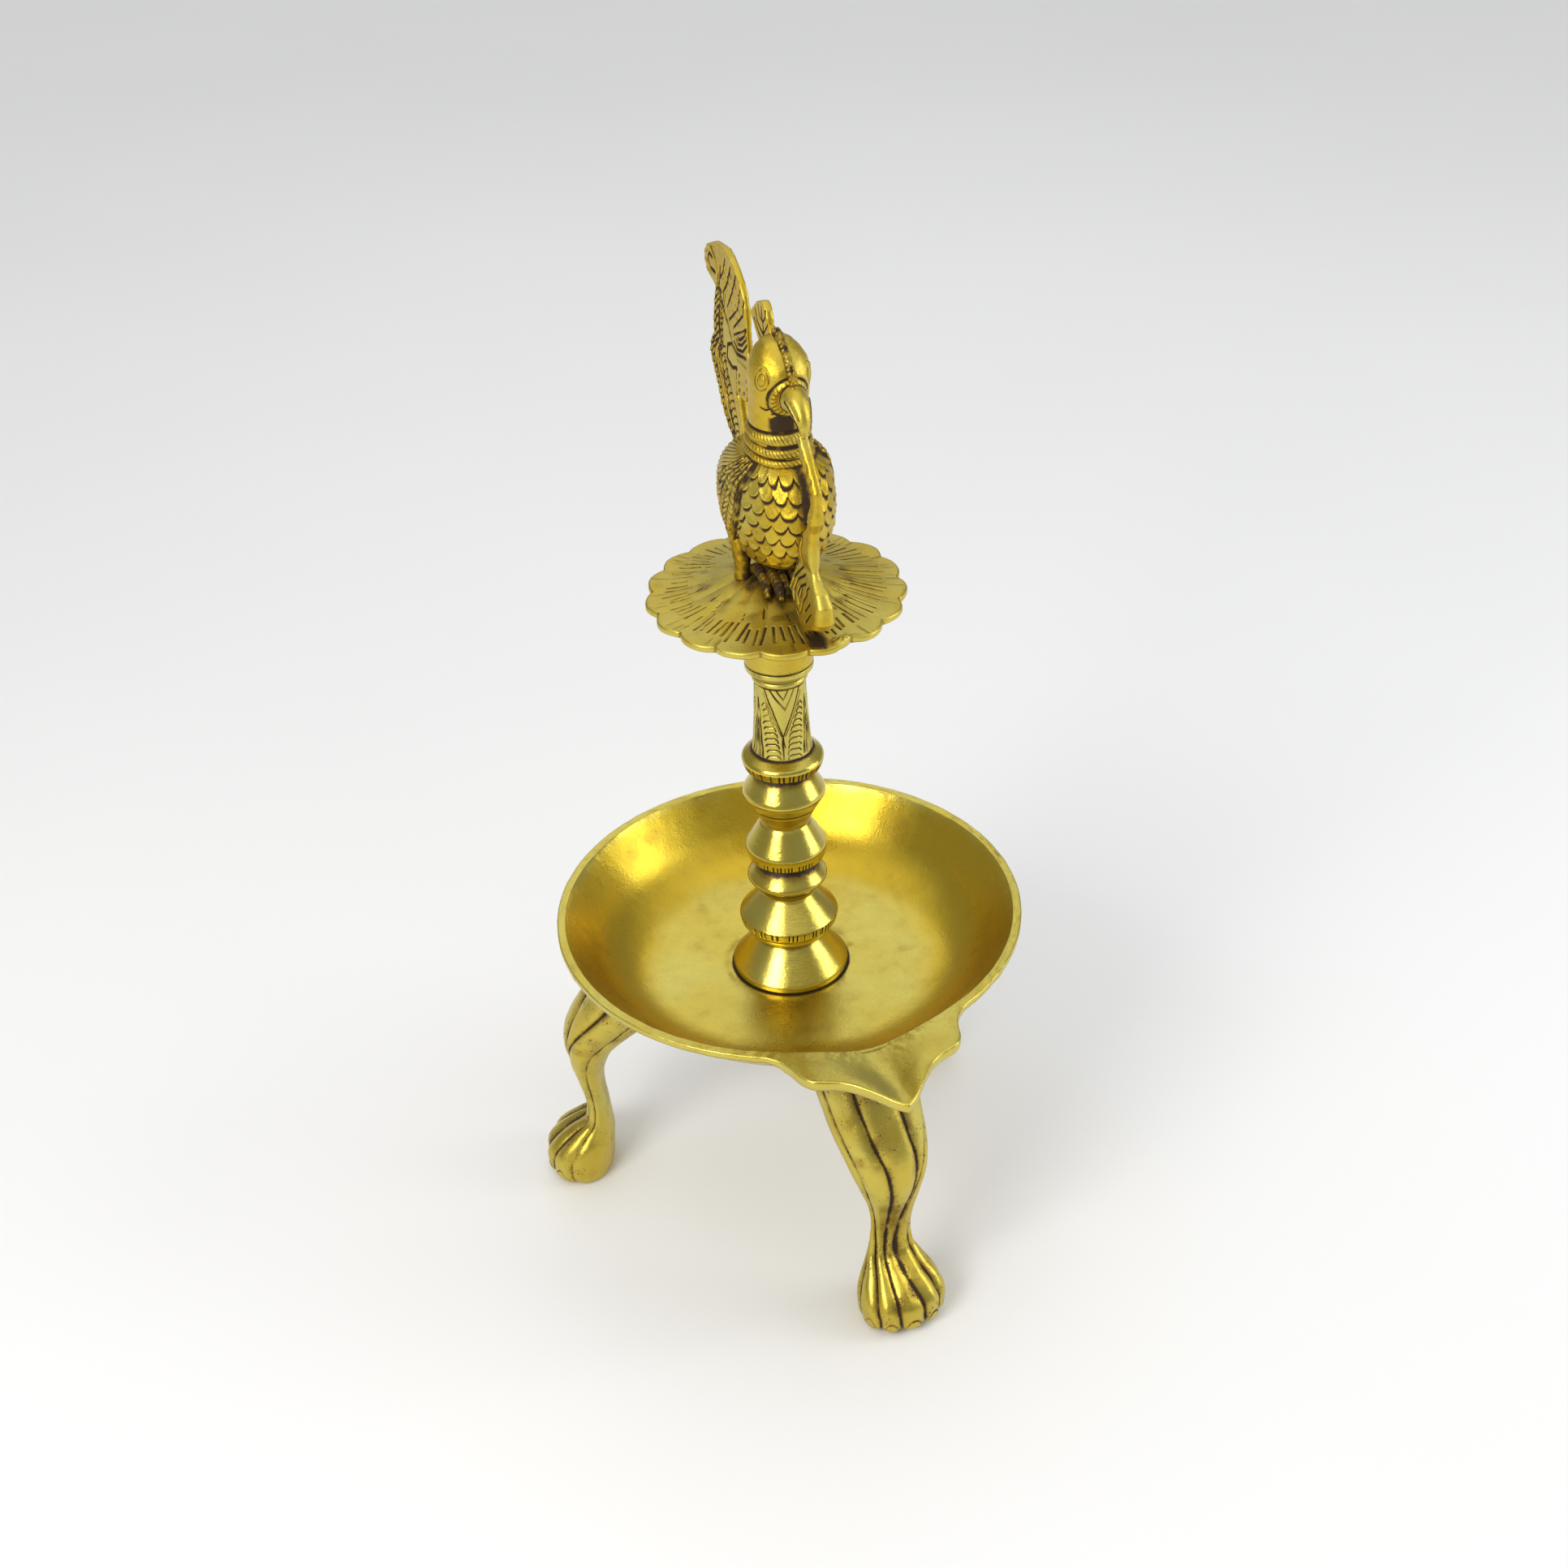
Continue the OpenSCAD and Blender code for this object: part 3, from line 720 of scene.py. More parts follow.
def panelLines():
    # strokes of one panel as [degrees from its middle, height]: a nested V, then a tent that points up
    lines = [([(-42, 24.2), (-22, 17.0), (-1, 8.2)], 1.2), ([(42, 24.2), (-1, 8.2)], 1.0),
             ([(-1, 8.2), (-2, 0.6)], 1.3), ([(-46, 23.0), (-4, 8.4)], 0.5), ([(46, 23.0), (4, 8.6)], 0.5),
             ([(0, 8.0), (3, 4.6)], 0.6), ([(-27, 24.2), (5, 17.6)], 1.0), ([(27, 24.2), (5, 17.6)], 1.0),
             ([(-12, 24.4), (2, 21.0), (14, 24.4)], 0.9)]
    for side in (-1, 1):
        lines += [([(side * 60, 20.4), (side * 43, 0.8)], 1.0), ([(side * 60, 13.6), (side * 51, 0.6)], 0.9),
                  ([(side * 60, 9.5), (side * 56, 0.6)], 0.6), ([(side * 46, 0.8), (side * 60, 18.2)], 0.4)]
        for k in range(10):
            top = 19.4 - 1.95 * k
            inner = 7 + max(top - 8.2, 0) * 42 / 16
            outer = 58 - 17 * (20 - top) / 20 - 7
            inner = max(inner, outer - 30)
            arch = [(side * inner, top - 1.5), (side * (inner + 2), top - 0.5), (side * (inner + 8), top),
                    (side * (outer - 5), top - 0.4), (side * (outer - 1), top - 1.2)]
            lines.append((arch, 0.8))
    mmPerDegree = sleeveLook["meanRadius"] * math.pi / 180
    return [([(x * mmPerDegree, z) for x, z in path], width) for path, width in lines]


def makeSleeve(look):
    foot = span("engraved_sleeve", 2)[0]
    corners = roundedOutline(sleeveOutline, 0.3, 0.18)
    r, z = corners[:, 0][:, None], corners[:, 1][:, None]
    turn = np.linspace(0, turnFull, look["around"], endpoint=False)
    cell = 360 / look["panels"]
    arc = (np.degrees(turn) + cell / 2) % cell - cell / 2
    along = np.radians(arc)[None, :] * r
    flat = np.stack([along + 0 * z, z + 0 * along], -1)
    wobble = softNoise(circle(turn, 8, z), 3.0, 71)
    flat[..., 0] += wobble * 0.22
    flat[..., 0] *= look["meanRadius"] / r
    away = strokeDistance(flat.reshape(-1, 2), panelLines()).reshape(along.shape)
    engraved = (z < look["engravedTo"]) & (z > 0.4)
    cut = np.clip(1 - away / (look["line"] * 1.25), 0, 1) * engraved
    radius = r - cut * look["cut"] + wobble * 0.05
    rings = bell(z - 24.6, 0.3) + bell(z - 26.9, 0.3) * 0.7 + bell(z, 0.4)
    soil = np.clip(cut * (0.75 + wobble * 0.6), 0, 1) + rings * (0.65 + wobble * 0.5)
    soil = soil + 0.25 * ramp(wobble, 0.3, 0.8) * (z > 27.5)
    skin = circle(turn, radius, z + foot)
    made = shell("engravedSleeve", place(skin, math.radians(look["bearing"])), soil)
    handOver(made, engravedBrass, "engraved_sleeve", "stem")


makeSleeve(sleeveLook)
print("sleeve made")


# Scalloped plate with chisel cuts round its mound
plateLook = {"around": 560, "lobes": 17, "lobeRadius": 10.0, "lobeAt": 28.9, "cut": 0.42, "slits": 78,
             "innerSlits": 40}
plateRadius = plateLook["lobeAt"] + plateLook["lobeRadius"]
plateTop = [(0, 7.6), (5, 7.6), (7.5, 7.45), (11, 6.4), (16, 4.8), (22, 2.8), (28, 1.4), (34, 0.4),
            (plateRadius, 0.0)]
plateUnder = [(0, 1.4), (13, 1.4), (26, -1.5), (plateRadius, -1.9)]


def plateStrokes(look):
    # short slits all round, bold at the front; long cuts on the side past the vine; a loose inner row
    rng = np.random.default_rng(5)
    strokes = []

    def slit(turn, start, end, wide, tilt=0.0):
        strokes.append(([(start * math.cos(turn), start * math.sin(turn)),
                         (end * math.cos(turn + tilt), end * math.sin(turn + tilt))], wide))

    for k in range(look["slits"]):
        turn = k * turnFull / look["slits"] + math.radians(rng.uniform(-1.2, 1.2))
        away = abs((math.degrees(turn - spoutTurn) + 180) % 360 - 180)
        past = (math.degrees(turn - spoutTurn) + 360) % 360
        if 28 < past < 120:
            start = 21 + rng.uniform(-2.5, 2.5)
            end = 32.5 + rng.uniform(-1.5, 1.0)
            slit(turn, start, end, rng.uniform(0.16, 0.28))
        else:
            start = 25.6 + rng.uniform(-1.4, 1.6)
            end = 32.6 + rng.uniform(-1.4, 1.0)
            bold = (0.36 if away < 50 else 0.24) + rng.uniform(-0.08, 0.06)
            slit(turn, start, end, bold, rng.uniform(-0.03, 0.03))
    for k in range(look["innerSlits"]):
        turn = math.radians(k * 360 / look["innerSlits"] + rng.uniform(-3, 3))
        if rng.uniform() < 0.55:
            start = 20.0 + rng.uniform(-2.0, 2.0)
            slit(turn, start, start + rng.uniform(2.0, 4.5), rng.uniform(0.10, 0.22), 0.02)
    return strokes


def makePlate(look):
    turn = np.linspace(0, turnFull, look["around"], endpoint=False)
    lobe = turnFull / look["lobes"]
    off = (turn + lobe / 2) % lobe - lobe / 2
    edge = np.sqrt(look["lobeRadius"] ** 2 - (look["lobeAt"] * np.sin(off)) ** 2)
    edge = look["lobeAt"] * np.cos(off) + edge + softNoise(circle(turn, 39), 6.0, 81) * 0.35 - 0.2
    notch = 1 - ramp(np.abs(lobe / 2 - np.abs(off)), 0, lobe * 0.07)
    rows, tops = [], []
    for k in np.linspace(0.02, 0.985, 16):
        rows.append((edge * k, np.interp(plateRadius * k, *np.array(plateUnder).T) + 0 * turn))
        tops.append(0)
    for back, height in ((0.12, -1.87), (0.0, -1.6), (0.0, -1.0), (0.02, -0.4), (0.16, -0.1), (0.45, 0.0)):
        rows.append((edge - back, height + 0 * turn))
        tops.append(0.5)
    for k in np.linspace(0.984, 0.01, 128):
        rows.append((edge * k, curveThrough(plateRadius * k, *np.array(plateTop).T) + 0 * turn))
        tops.append(1)
    r, z = np.array(rows).transpose(1, 0, 2)
    top = np.array(tops)[:, None] * np.ones_like(r)
    x, y = r * np.cos(turn), r * np.sin(turn)
    flat = np.stack([x, y], -1).reshape(-1, 2)
    away = strokeDistance(flat, plateStrokes(look)).reshape(r.shape)
    onTop = top > 0.9
    cut = np.clip(1.15 - away, 0, 1) * onTop
    lift = np.clip(1 - np.abs(away - 1.7) / 0.7, 0, 1) * onTop
    solid = np.stack([x, y, z], -1)
    scratch = softNoise(circle(turn, 40, r * 0.08), 0.7, 83)
    lobeLines = ramp(scratch, 0.45, 0.8) * ramp(r, 31.5, 33.5) * onTop
    z = z - cut * look["cut"] + lift * 0.07 - lobeLines * 0.14
    z = z + softNoise(solid, 9.0, 84) * 0.16 * (top > 0.4) - notch * ramp(r, 36, 37.6) * 0.18 * onTop
    # rough solder beside the vine's foot, near the plate's edge
    footX, footY, _ = circle(birdTurn, 32)
    lumpX, lumpY, _ = circle(birdTurn + 0.20, 37.2)
    clawX, clawY, _ = circle(birdTurn, 5)
    lump = np.exp(-(((x - lumpX) / 3.9) ** 2 + ((y - lumpY) / 2.7) ** 2) ** 2) * (top > 0.4)
    grit = softNoise(solid, 1.1, 85)
    z = z + lump * (0.7 + 0.7 * grit)
    # painted shadow on the plate under the vine's foot, which stands just above it
    vineFootShadow = np.exp(-(((x - footX + 0.4) / 3.0) ** 2 + ((y - footY + 1.6) / 4.2) ** 2) ** 2) * onTop
    claws = np.exp(-((x - clawX) ** 2 + (y - clawY) ** 2) / 150) * onTop
    blotchy = softNoise(solid, 3.5, 86)
    soil = cut * (0.8 + 0.5 * blotchy) + vineFootShadow * 0.7 + claws * (0.2 + 0.3 * ramp(blotchy, -0.6, 0.8))
    soil = soil + lobeLines * 0.3 + 0.26 * ramp(blotchy, 0.0, 0.8) * ramp(29 - r, 0, 8) * onTop
    soil = soil + notch * (top == 0.5) * 0.35
    skin = np.stack([x, y, z + plateHeight], -1)
    made = shell("scallopedPlate", place(skin), soil)
    handOver(made, plateBrass, "scalloped_plate", "finial")


plateHeight = span("scalloped_plate", 2)[1] - plateTop[0][1]
makePlate(plateLook)
print("plate made")


# Peacock body: overlapping breast scales, and wings of barbed strips
bodyLook = {"around": 400, "rows": 236, "scaleWide": 5.0, "scaleTall": 4.45, "scaleDeep": 2.3,
            "scaleRise": 1.05, "scaleRows": 9, "topRow": 273.9, "wingRise": 1.1, "lean": 1.4,
            "belly": (24.7, 15), "wingCuts": (3.0, 7.4, 11.8, 16.4, 21.2, 26.0), "barbStep": 2.1}
bodySlices = [
    (241, -5, 7, 4.4), (242, -8.5, 9.5, 6.4), (244, -13.5, 13.6, 9.3), (249, -19.5, 19.3, 12.6),
    (255, -23, 22.8, 14.4), (261, -24.5, 24.6, 14.9), (267, -23.5, 24.6, 14.6), (273, -17, 22.8, 13.2),
    (276.4, -10, 20.6, 11.4), (278, -6.0, 18.4, 9.8), (281, -4.0, 16.8, 8.8), (287, -1.8, 15.8, 8.4)]
headSlices = [
    (276, -8, 19.0, 9.0), (278, -5.2, 18.0, 9.0), (283, -3.2, 16.8, 8.5), (289, -1.5, 15.8, 8.2),
    (295, -0.8, 16.3, 8.2), (300, -0.5, 18.1, 8.5), (304, -0.2, 18.7, 8.5), (308, 0.8, 17.0, 7.5),
    (311.2, 3, 13.8, 5.4), (312.8, 4.8, 11.6, 3.5), (313.5, 6.5, 9.6, 1.6)]


def arcLength(turn):
    # distance round the belly from the bird's front, for an angle in degrees
    fine = np.linspace(0, 180, 721)
    a = np.radians(fine)
    halfLong, halfWide = bodyLook["belly"]
    step = np.hypot(halfLong * np.sin(a), halfWide * np.cos(a)) * math.radians(0.25)
    return np.interp(np.abs(turn), fine, np.concatenate([[0], np.cumsum(step[:-1])]))


def breastScales(v, z, look):
    # how far each point is raised by its own scale, and how deep in the gap under the scale above
    rise = np.zeros_like(z)
    gap = np.full_like(z, farAway)
    owned = np.zeros(z.shape, bool)
    previous = np.full_like(z, farAway)
    for row in range(look["scaleRows"]):
        low = look["topRow"] - look["scaleTall"] * row
        shift = look["scaleWide"] * (0.5 if row % 2 else 0.0)
        offset = (v - 3.2 - shift + 50 * look["scaleWide"]) % look["scaleWide"] - look["scaleWide"] / 2
        side = np.abs(offset) / (look["scaleWide"] / 2)
        edge = low + look["scaleDeep"] * side ** 2.8
        above = z - edge
        mine = (above > 0) & ~owned
        height = look["scaleRise"] * np.exp(-np.abs(above) / 2.6) * (1 - 0.35 * side ** 2)
        soft = np.clip(above / 0.25, 0, 1)
        rise = np.where(mine, height * soft, rise)
        gap = np.where(mine, np.minimum(np.abs(previous), farAway), gap)
        owned |= mine
        previous = above
    return rise, gap


def makeBody(look):
    points, turn = loft(bodySlices, look["rows"], look["around"], 2.0, 0.22)
    z = points[..., 2]
    points[..., 1] += look["lean"] * ramp(284 - z, 0, 10)
    jitter = softNoise(points, 5.0, 91)
    v = arcLength(turn)
    edgeTurn = np.interp(z, [241, 249, 256, 264, 271, 277], [94, 87, 77.5, 71.5, 71, 66])
    behind = v - arcLength(edgeTurn)
    breast = ramp(-behind, 0.2, 1.0) * ramp(v, 1.2, 2.4) * ramp(z, 243.5, 245.5) * ramp(279.4 - z, 0, 1.2)
    rise, gap = breastScales(v + jitter * 0.7, z + softNoise(points, 4.0, 92) * 0.7, look)
    push = (rise - 0.25) * breast
    soil = bell(gap, 0.8) * breast * 1.4
    # wings
    bottom = 246.5 + 0.16 * np.clip(behind, 0, 30)
    wing = ramp(behind, -0.1, 0.5) * ramp(z, bottom - 0.4, bottom + 0.4)
    wing = wing * ramp(280 - 0.12 * behind - z, 0, 1.5)
    fan = 0.42 + 0.58 * np.clip((278 - z) / 30, 0, 1)
    strip = behind / fan
    cutLines = np.zeros_like(z)
    for at in (1.5,) + look["wingCuts"]:
        cutLines = np.maximum(cutLines, bell((strip - at) * fan, 0.42))
    which = np.searchsorted(look["wingCuts"], strip)
    lean = np.where(which % 2 == 0, 1.0, -1.0)
    barb = ((z + lean * behind * 0.75 + jitter * 0.4) / look["barbStep"]) % 1.0
    barbs = bell(barb - 0.5, 0.17) * (strip > 3.3) * (cutLines < 0.4)
    push += wing * (look["wingRise"] - 0.75 * cutLines - 0.42 * barbs)
    soil = np.maximum(soil, wing * np.maximum(cutLines * 0.85, barbs * 0.5))
    rim = bell(behind, 0.45) * ramp(z, 246, 249) * ramp(280 - z, 0, 2)
    soil = np.maximum(soil, rim * 0.8)
    # grime along the seam behind the vine, and painted shade under the belly
    broken = 0.62 + 0.5 * softNoise(points, 2.2, 93)
    seam = bell(v, 2.0) * ramp(z, 243, 247) * ramp(282 - z, 0, 4)
    under = ramp(246 - z, 0, 5)
    push += softNoise(points, 1.4, 94) * 0.08 + softNoise(points, 0.7, 90) * 0.04
    push += seam * (softNoise(points, 0.9, 95) * 0.18 - 0.1)
    soil = np.clip(soil * broken * 1.35, 0, 1) + seam * 0.7 * (0.7 + 0.6 * jitter)
    # painted shade on the bottom of the belly
    soil = soil + under * 0.6 + 0.12 * ramp(jitter, -0.3, 0.6)
    soil = soil + 0.45 * bell(z - 278.2, 0.45)
    return shell("peacockBody", place(pushOut(points, push), birdTurn), soil)


headLook = {"around": 320, "rows": 230, "rings": [285.4, 281.95, 279.25], "ringHalf": [1.45, 1.35, 1.1],
            "ringRise": 0.85, "strands": 52, "eyeTurn": 57, "eyeHeight": 304.0, "beakHeight": 298.6}


def makeHead(look):
    points, turn = loft(headSlices, look["rows"], look["around"], 2.1, 0.2)
    z = points[..., 2]
    push = np.zeros_like(z)
    soil = np.zeros_like(z)
    # rings of twisted cord round the neck
    sag = z + 0.8 * np.cos(np.radians(turn)) * ramp(288 - z, 0, 6) - 0.55
    neck = ramp(287.8 - sag, 0, 0.5)
    band = np.zeros_like(z)
    for at, half in zip(look["rings"], look["ringHalf"]):
        band = np.maximum(band, np.sqrt(np.maximum(1 - ((sag - at) / half) ** 2, 0)))
    strand = (turn / 360 * look["strands"] + sag * 0.45) % 1.0 - 0.5
    rope = bell(strand, 0.16)
    push += band * look["ringRise"] - 0.35 * (neck - band).clip(0, 1) - band * rope * 0.18
    soil = np.maximum(soil, (1 - band / 0.62).clip(0, 1) * neck * ramp(sag, 277.3, 277.9))
    soil = np.maximum(soil, band * rope * 0.45)
    # eyes
    side = np.abs(turn)
    eyeX = (side - look["eyeTurn"]) / 180 * math.pi * 9.6
    eyeZ = z - look["eyeHeight"]
    spinX = eyeX * 0.94 + eyeZ * 0.34
    spinZ = eyeZ * 0.94 - eyeX * 0.34
    lid = np.hypot(spinX / 2.3, spinZ / 3.0)
    brow = 0.35 + 0.65 * ramp(spinZ, -1.0, 2.0)
    push += brow * (0.42 * bell(lid - 0.82, 0.17) - 0.25 * bell(lid - 1.12, 0.10))
    push += 0.45 * np.sqrt(np.maximum(1 - np.hypot(spinX / 1.25, spinZ / 1.85) ** 2, 0))
    push -= 0.25 * bell(lid, 0.55)
    soil = np.maximum(soil, 0.55 * bell(lid - 1.13, 0.10) * ramp(-eyeZ, -2.5, 1.5))
    soil = np.maximum(soil, 0.35 * bell(lid - 0.58, 0.08))
    # cheek line
    smile = z - np.interp(side, [28, 34, 46, 60, 72], [296.0, 295.2, 294.6, 295.3, 296.8])
    onSmile = ramp(side, 28, 33) * ramp(74 - side, 0, 12)
    push -= 0.34 * bell(smile, 0.38) * onSmile
    soil = np.maximum(soil, 0.95 * bell(smile, 0.33) * onSmile * ramp(66 - side, 0, 16))
    push += 0.22 * bell(smile - 1.1, 0.9) * onSmile
    # collar round the beak's root, notched all round
    rootSide, rootUp = points[..., 1], z - look["beakHeight"]
    collar = np.hypot(rootSide / 4.9, rootUp / 5.2)
    atFront = np.cos(np.radians(turn)) > 0.2
    spoke = (np.degrees(np.arctan2(rootUp, rootSide)) / 360 * 22) % 1.0 - 0.5
    ridge = bell(collar - 0.93, 0.16) * atFront
    push += ridge * (0.85 - 0.16 * bell(spoke, 0.15))
    push -= 0.3 * bell(collar - 1.22, 0.07) * atFront
    soil = np.maximum(soil, bell(collar - 1.2, 0.07) * atFront * 0.9)
    soil = np.maximum(soil, ridge * bell(spoke, 0.14) * 0.6)
    # burnt patch on the throat
    throat = np.exp(-((turn + 12) / 24) ** 4) * ramp(z, 287.4, 288.4)
    throat = throat * ramp(293.2 + softNoise(points, 2.0, 96) - z, 0, 1.2)
    jaw = bell(z - 293.6, 0.35) * ramp(40 - side, 0, 8) * (side > 14)
    soil = np.maximum(soil, throat * 1.3)
    soil = np.maximum(soil, jaw * 0.5)
    push += softNoise(points, 1.5, 97) * 0.07 + softNoise(points, 4.0, 98) * 0.14
    broken = 0.66 + 0.45 * softNoise(points, 1.8, 99)
    nape = ramp(side, 120, 160) * 0.3
    soil = np.clip(soil * broken * 1.4, 0, 1) + nape
    return shell("peacockHead", place(pushOut(points, push * ramp(z, 276, 277)), birdTurn), soil)


def tube(path, radii, count, around, flatten=1.0):
    # round limb along a path of [forward, side, up]
    path = np.array(path, float)
    gone = pathLength(path)
    at = np.linspace(0, gone[-1], count)
    line = np.stack([curveThrough(at, gone, path[:, k]) for k in range(3)], -1)
    size = np.maximum(curveThrough(at, gone, radii), 0.05)
    ahead = np.gradient(line, axis=0)
    ahead /= np.linalg.norm(ahead, axis=1, keepdims=True)
    across = np.cross(ahead, [0, 1, 0])
    across = np.where(np.linalg.norm(across, axis=1, keepdims=True) < 0.05, [1.0, 0, 0], across)
    across /= np.linalg.norm(across, axis=1, keepdims=True)
    side = np.cross(ahead, across)
    turn = np.linspace(0, turnFull, around, endpoint=False)
    cosine, sine = np.cos(turn)[None, :, None], np.sin(turn)[None, :, None]
    ring = across[:, None] * cosine + side[:, None] * sine * flatten
    return line[:, None] + ring * size[:, None, None]


def makeBeak():
    rows, around = 110, 80
    path = [(13.5, 0, 297.6), (17.5, 0, 299.0), (21.6, 0, 299.3), (25.0, 0, 297.2), (27.0, 0, 294.0),
            (26.8, 0, 290.9)]
    points = tube(path, [3.6, 3.9, 3.6, 2.7, 1.7, 0.7], rows, around)
    along = np.linspace(0, 1, rows)[:, None]
    sideways = np.linspace(0, 360, around, endpoint=False)[None, :]
    soil = np.zeros(points.shape[:2])
    push = np.zeros(points.shape[:2])
    # the mouth's line on each cheek, and a shorter one under it
    for cheek, way in ((90, -1), (270, 1)):
        off = (sideways - cheek - 14 * way) / 57.3 * 3.0
        for shift, wide, low, high, dark in ((0.0, 0.30, 0.42, 0.9, 0.9), (1.5, 0.26, 0.5, 0.78, 0.4)):
            slit = bell(off - shift * way, wide) * ramp(along, low, low + 0.05) * ramp(high - along, 0, 0.05)
            push -= slit * 0.4
            soil = np.maximum(soil, slit * dark)
    root = bell(along - 0.34, 0.02)
    push -= root * 0.35
    soil = np.maximum(soil, root * 0.8)
    push += softNoise(points, 2.5, 101) * 0.10
    return shell("peacockBeak", place(pushOut(points, -push), birdTurn), soil)


def makeBirdLegs():
    # a short column under each side of the belly, and wrinkled claws that run forward between them; painted
    # shade darkens the columns on their inner sides and the claws all over
    grids, soilAndShadeSets = [], []
    for side in (-1, 1):
        shank = tube([(-1.0, side * 10.6 + 1, 253), (-0.8, side * 10.2 + 0.6, 247), (-0.6, side * 9.9, 242),
                      (-0.5, side * 9.8, 237.0)], [4.4, 3.3, 2.5, 2.7], 44, 44)
        grids.append(shank)
        # painted shade on the inner side of each column
        soilAndShadeSets.append(0.2 + 0.75 * ramp(shank[..., 1] * side, 12.5, 8.0))
        for across, start, end in ((1.9, 2.0, 15.5), (4.4, 1.0, 17.5), (6.9, 0.0, 14.0)):
            toe = tube([(start, side * across, 239.0), (start + 4, side * across, 241.0),
                        (end - 4, side * across, 239.8), (end, side * across * 1.1, 236.8)],
                       [1.6, 1.7, 1.5, 0.8], 60, 22)
            ridge = np.sin(toe[..., 0] * 4.4 + across) * 0.07
            toe[..., 2] += ridge
            grids.append(toe)
            # painted shade: the claws lie in the belly's shadow
            soilAndShadeSets.append(0.62 - ridge * 2.0)
    made = []
    for k, (grid, soil) in enumerate(zip(grids, soilAndShadeSets)):
        lumps = softNoise(grid, 1.2, 103) * 0.2
        soil = soil * (0.8 + 0.5 * softNoise(grid, 2.0, 104))
        made.append(shell("peacockLeg%d" % k, place(pushOut(grid, lumps), birdTurn), soil))
    return made


for made in [makeBody(bodyLook), makeHead(headLook), makeBeak()] + makeBirdLegs():
    handOver(made, peacockBrass, "peacock_body", "finial")
print("peacock body made")


# Flat castings in the bird's plane: tail, crest and vine, with lines cut in both faces
def slab(back, front, thickness, rows, across, roundness=0.55):
    # back and front are edges as [forward, height] from the bottom to the top
    back, front = np.array(back, float), np.array(front, float)
    low, high = max(back[0, 1], front[0, 1]), min(back[-1, 1], front[-1, 1])
    fine = np.linspace(low, high, 3000)
    b, f = np.interp(fine, back[:, 1], back[:, 0]), np.interp(fine, front[:, 1], front[:, 0])
    side = np.maximum(np.abs(np.gradient(b, fine)), np.abs(np.gradient(f, fine)))
    run = np.cumsum(np.minimum(np.hypot(1, side), 6))
    z = np.interp(np.linspace(run[0], run[-1], rows), run, fine)
    b, f = np.interp(z, fine, b), np.interp(z, fine, f)
    half = thickness(z) / 2
    t = np.linspace(0, 1, across)
    bend = np.linspace(0, math.pi, 9)[1:-1]
    lip = np.minimum(roundness * half, (f - b) * 0.3)
    faceX = (b + lip)[:, None] + (f - b - 2 * lip)[:, None] * t
    frontX = (f - lip)[:, None] + lip[:, None] * np.sin(bend)
    backX = (b + lip)[:, None] - lip[:, None] * np.sin(bend)
    x = np.concatenate([faceX, frontX, faceX[:, ::-1], backX], 1)
    face = half[:, None] * np.ones(across)
    y = np.concatenate([-face, -half[:, None] * np.cos(bend), face, half[:, None] * np.cos(bend)], 1)
    return np.stack([x, y, z[:, None] + 0 * x], -1), half


def carve(points, strokes, depth, width):
    flat = np.stack([points[..., 0], points[..., 2]], -1)
    away = strokeDistance(flat.reshape(-1, 2), strokes).reshape(points.shape[:2])
    return np.clip(1.1 - away / width, 0, 1) ** 1.3 * depth


def finishSlab(name, node, points, half, cut, soil, seed):
    side = np.sign(points[..., 1])
    onFace = ramp(np.abs(points[..., 1]) / half[:, None], 0.75, 0.98)
    rough = softNoise(points, 1.3, seed) * 0.07 + softNoise(points, 4.0, seed + 1) * 0.10
    points[..., 1] += side * (-cut * onFace + rough)
    points[..., 0] += softNoise(points, 2.0, seed + 2) * 0.10
    broken = 0.7 + 0.5 * softNoise(points, 2.4, seed + 3)
    made = shell(name, place(points, birdTurn), soil * onFace * broken * 1.3)
    handOver(made, peacockBrass, node, "finial")


tailBack = [(-17, 260.2), (-20, 260.6), (-26, 266), (-31, 269), (-35, 273), (-38, 276.5), (-42.6, 285),
            (-45.6, 289), (-45, 292), (-41.7, 296), (-41.6, 301), (-40.4, 306.5), (-38.2, 311.6),
            (-42, 312.6), (-45.6, 314.2), (-46.8, 317), (-46.2, 319.6), (-44, 322), (-38.8, 324.3),
            (-33, 325.0), (-29, 325.2)]
tailFront = [(-16.8, 260.2), (-15.4, 262), (-17.2, 268), (-19.4, 276), (-21.4, 283.0), (-21.8, 284),
             (-14.2, 284.6), (-11.2, 291), (-11.4, 296), (-13.0, 300), (-13.6, 304), (-13.4, 309),
             (-13.8, 313), (-15.2, 316.4), (-17.2, 319), (-21, 322), (-25.0, 324.2), (-28.5, 325.2)]
beadFoot, beadStep = 267, 2.75


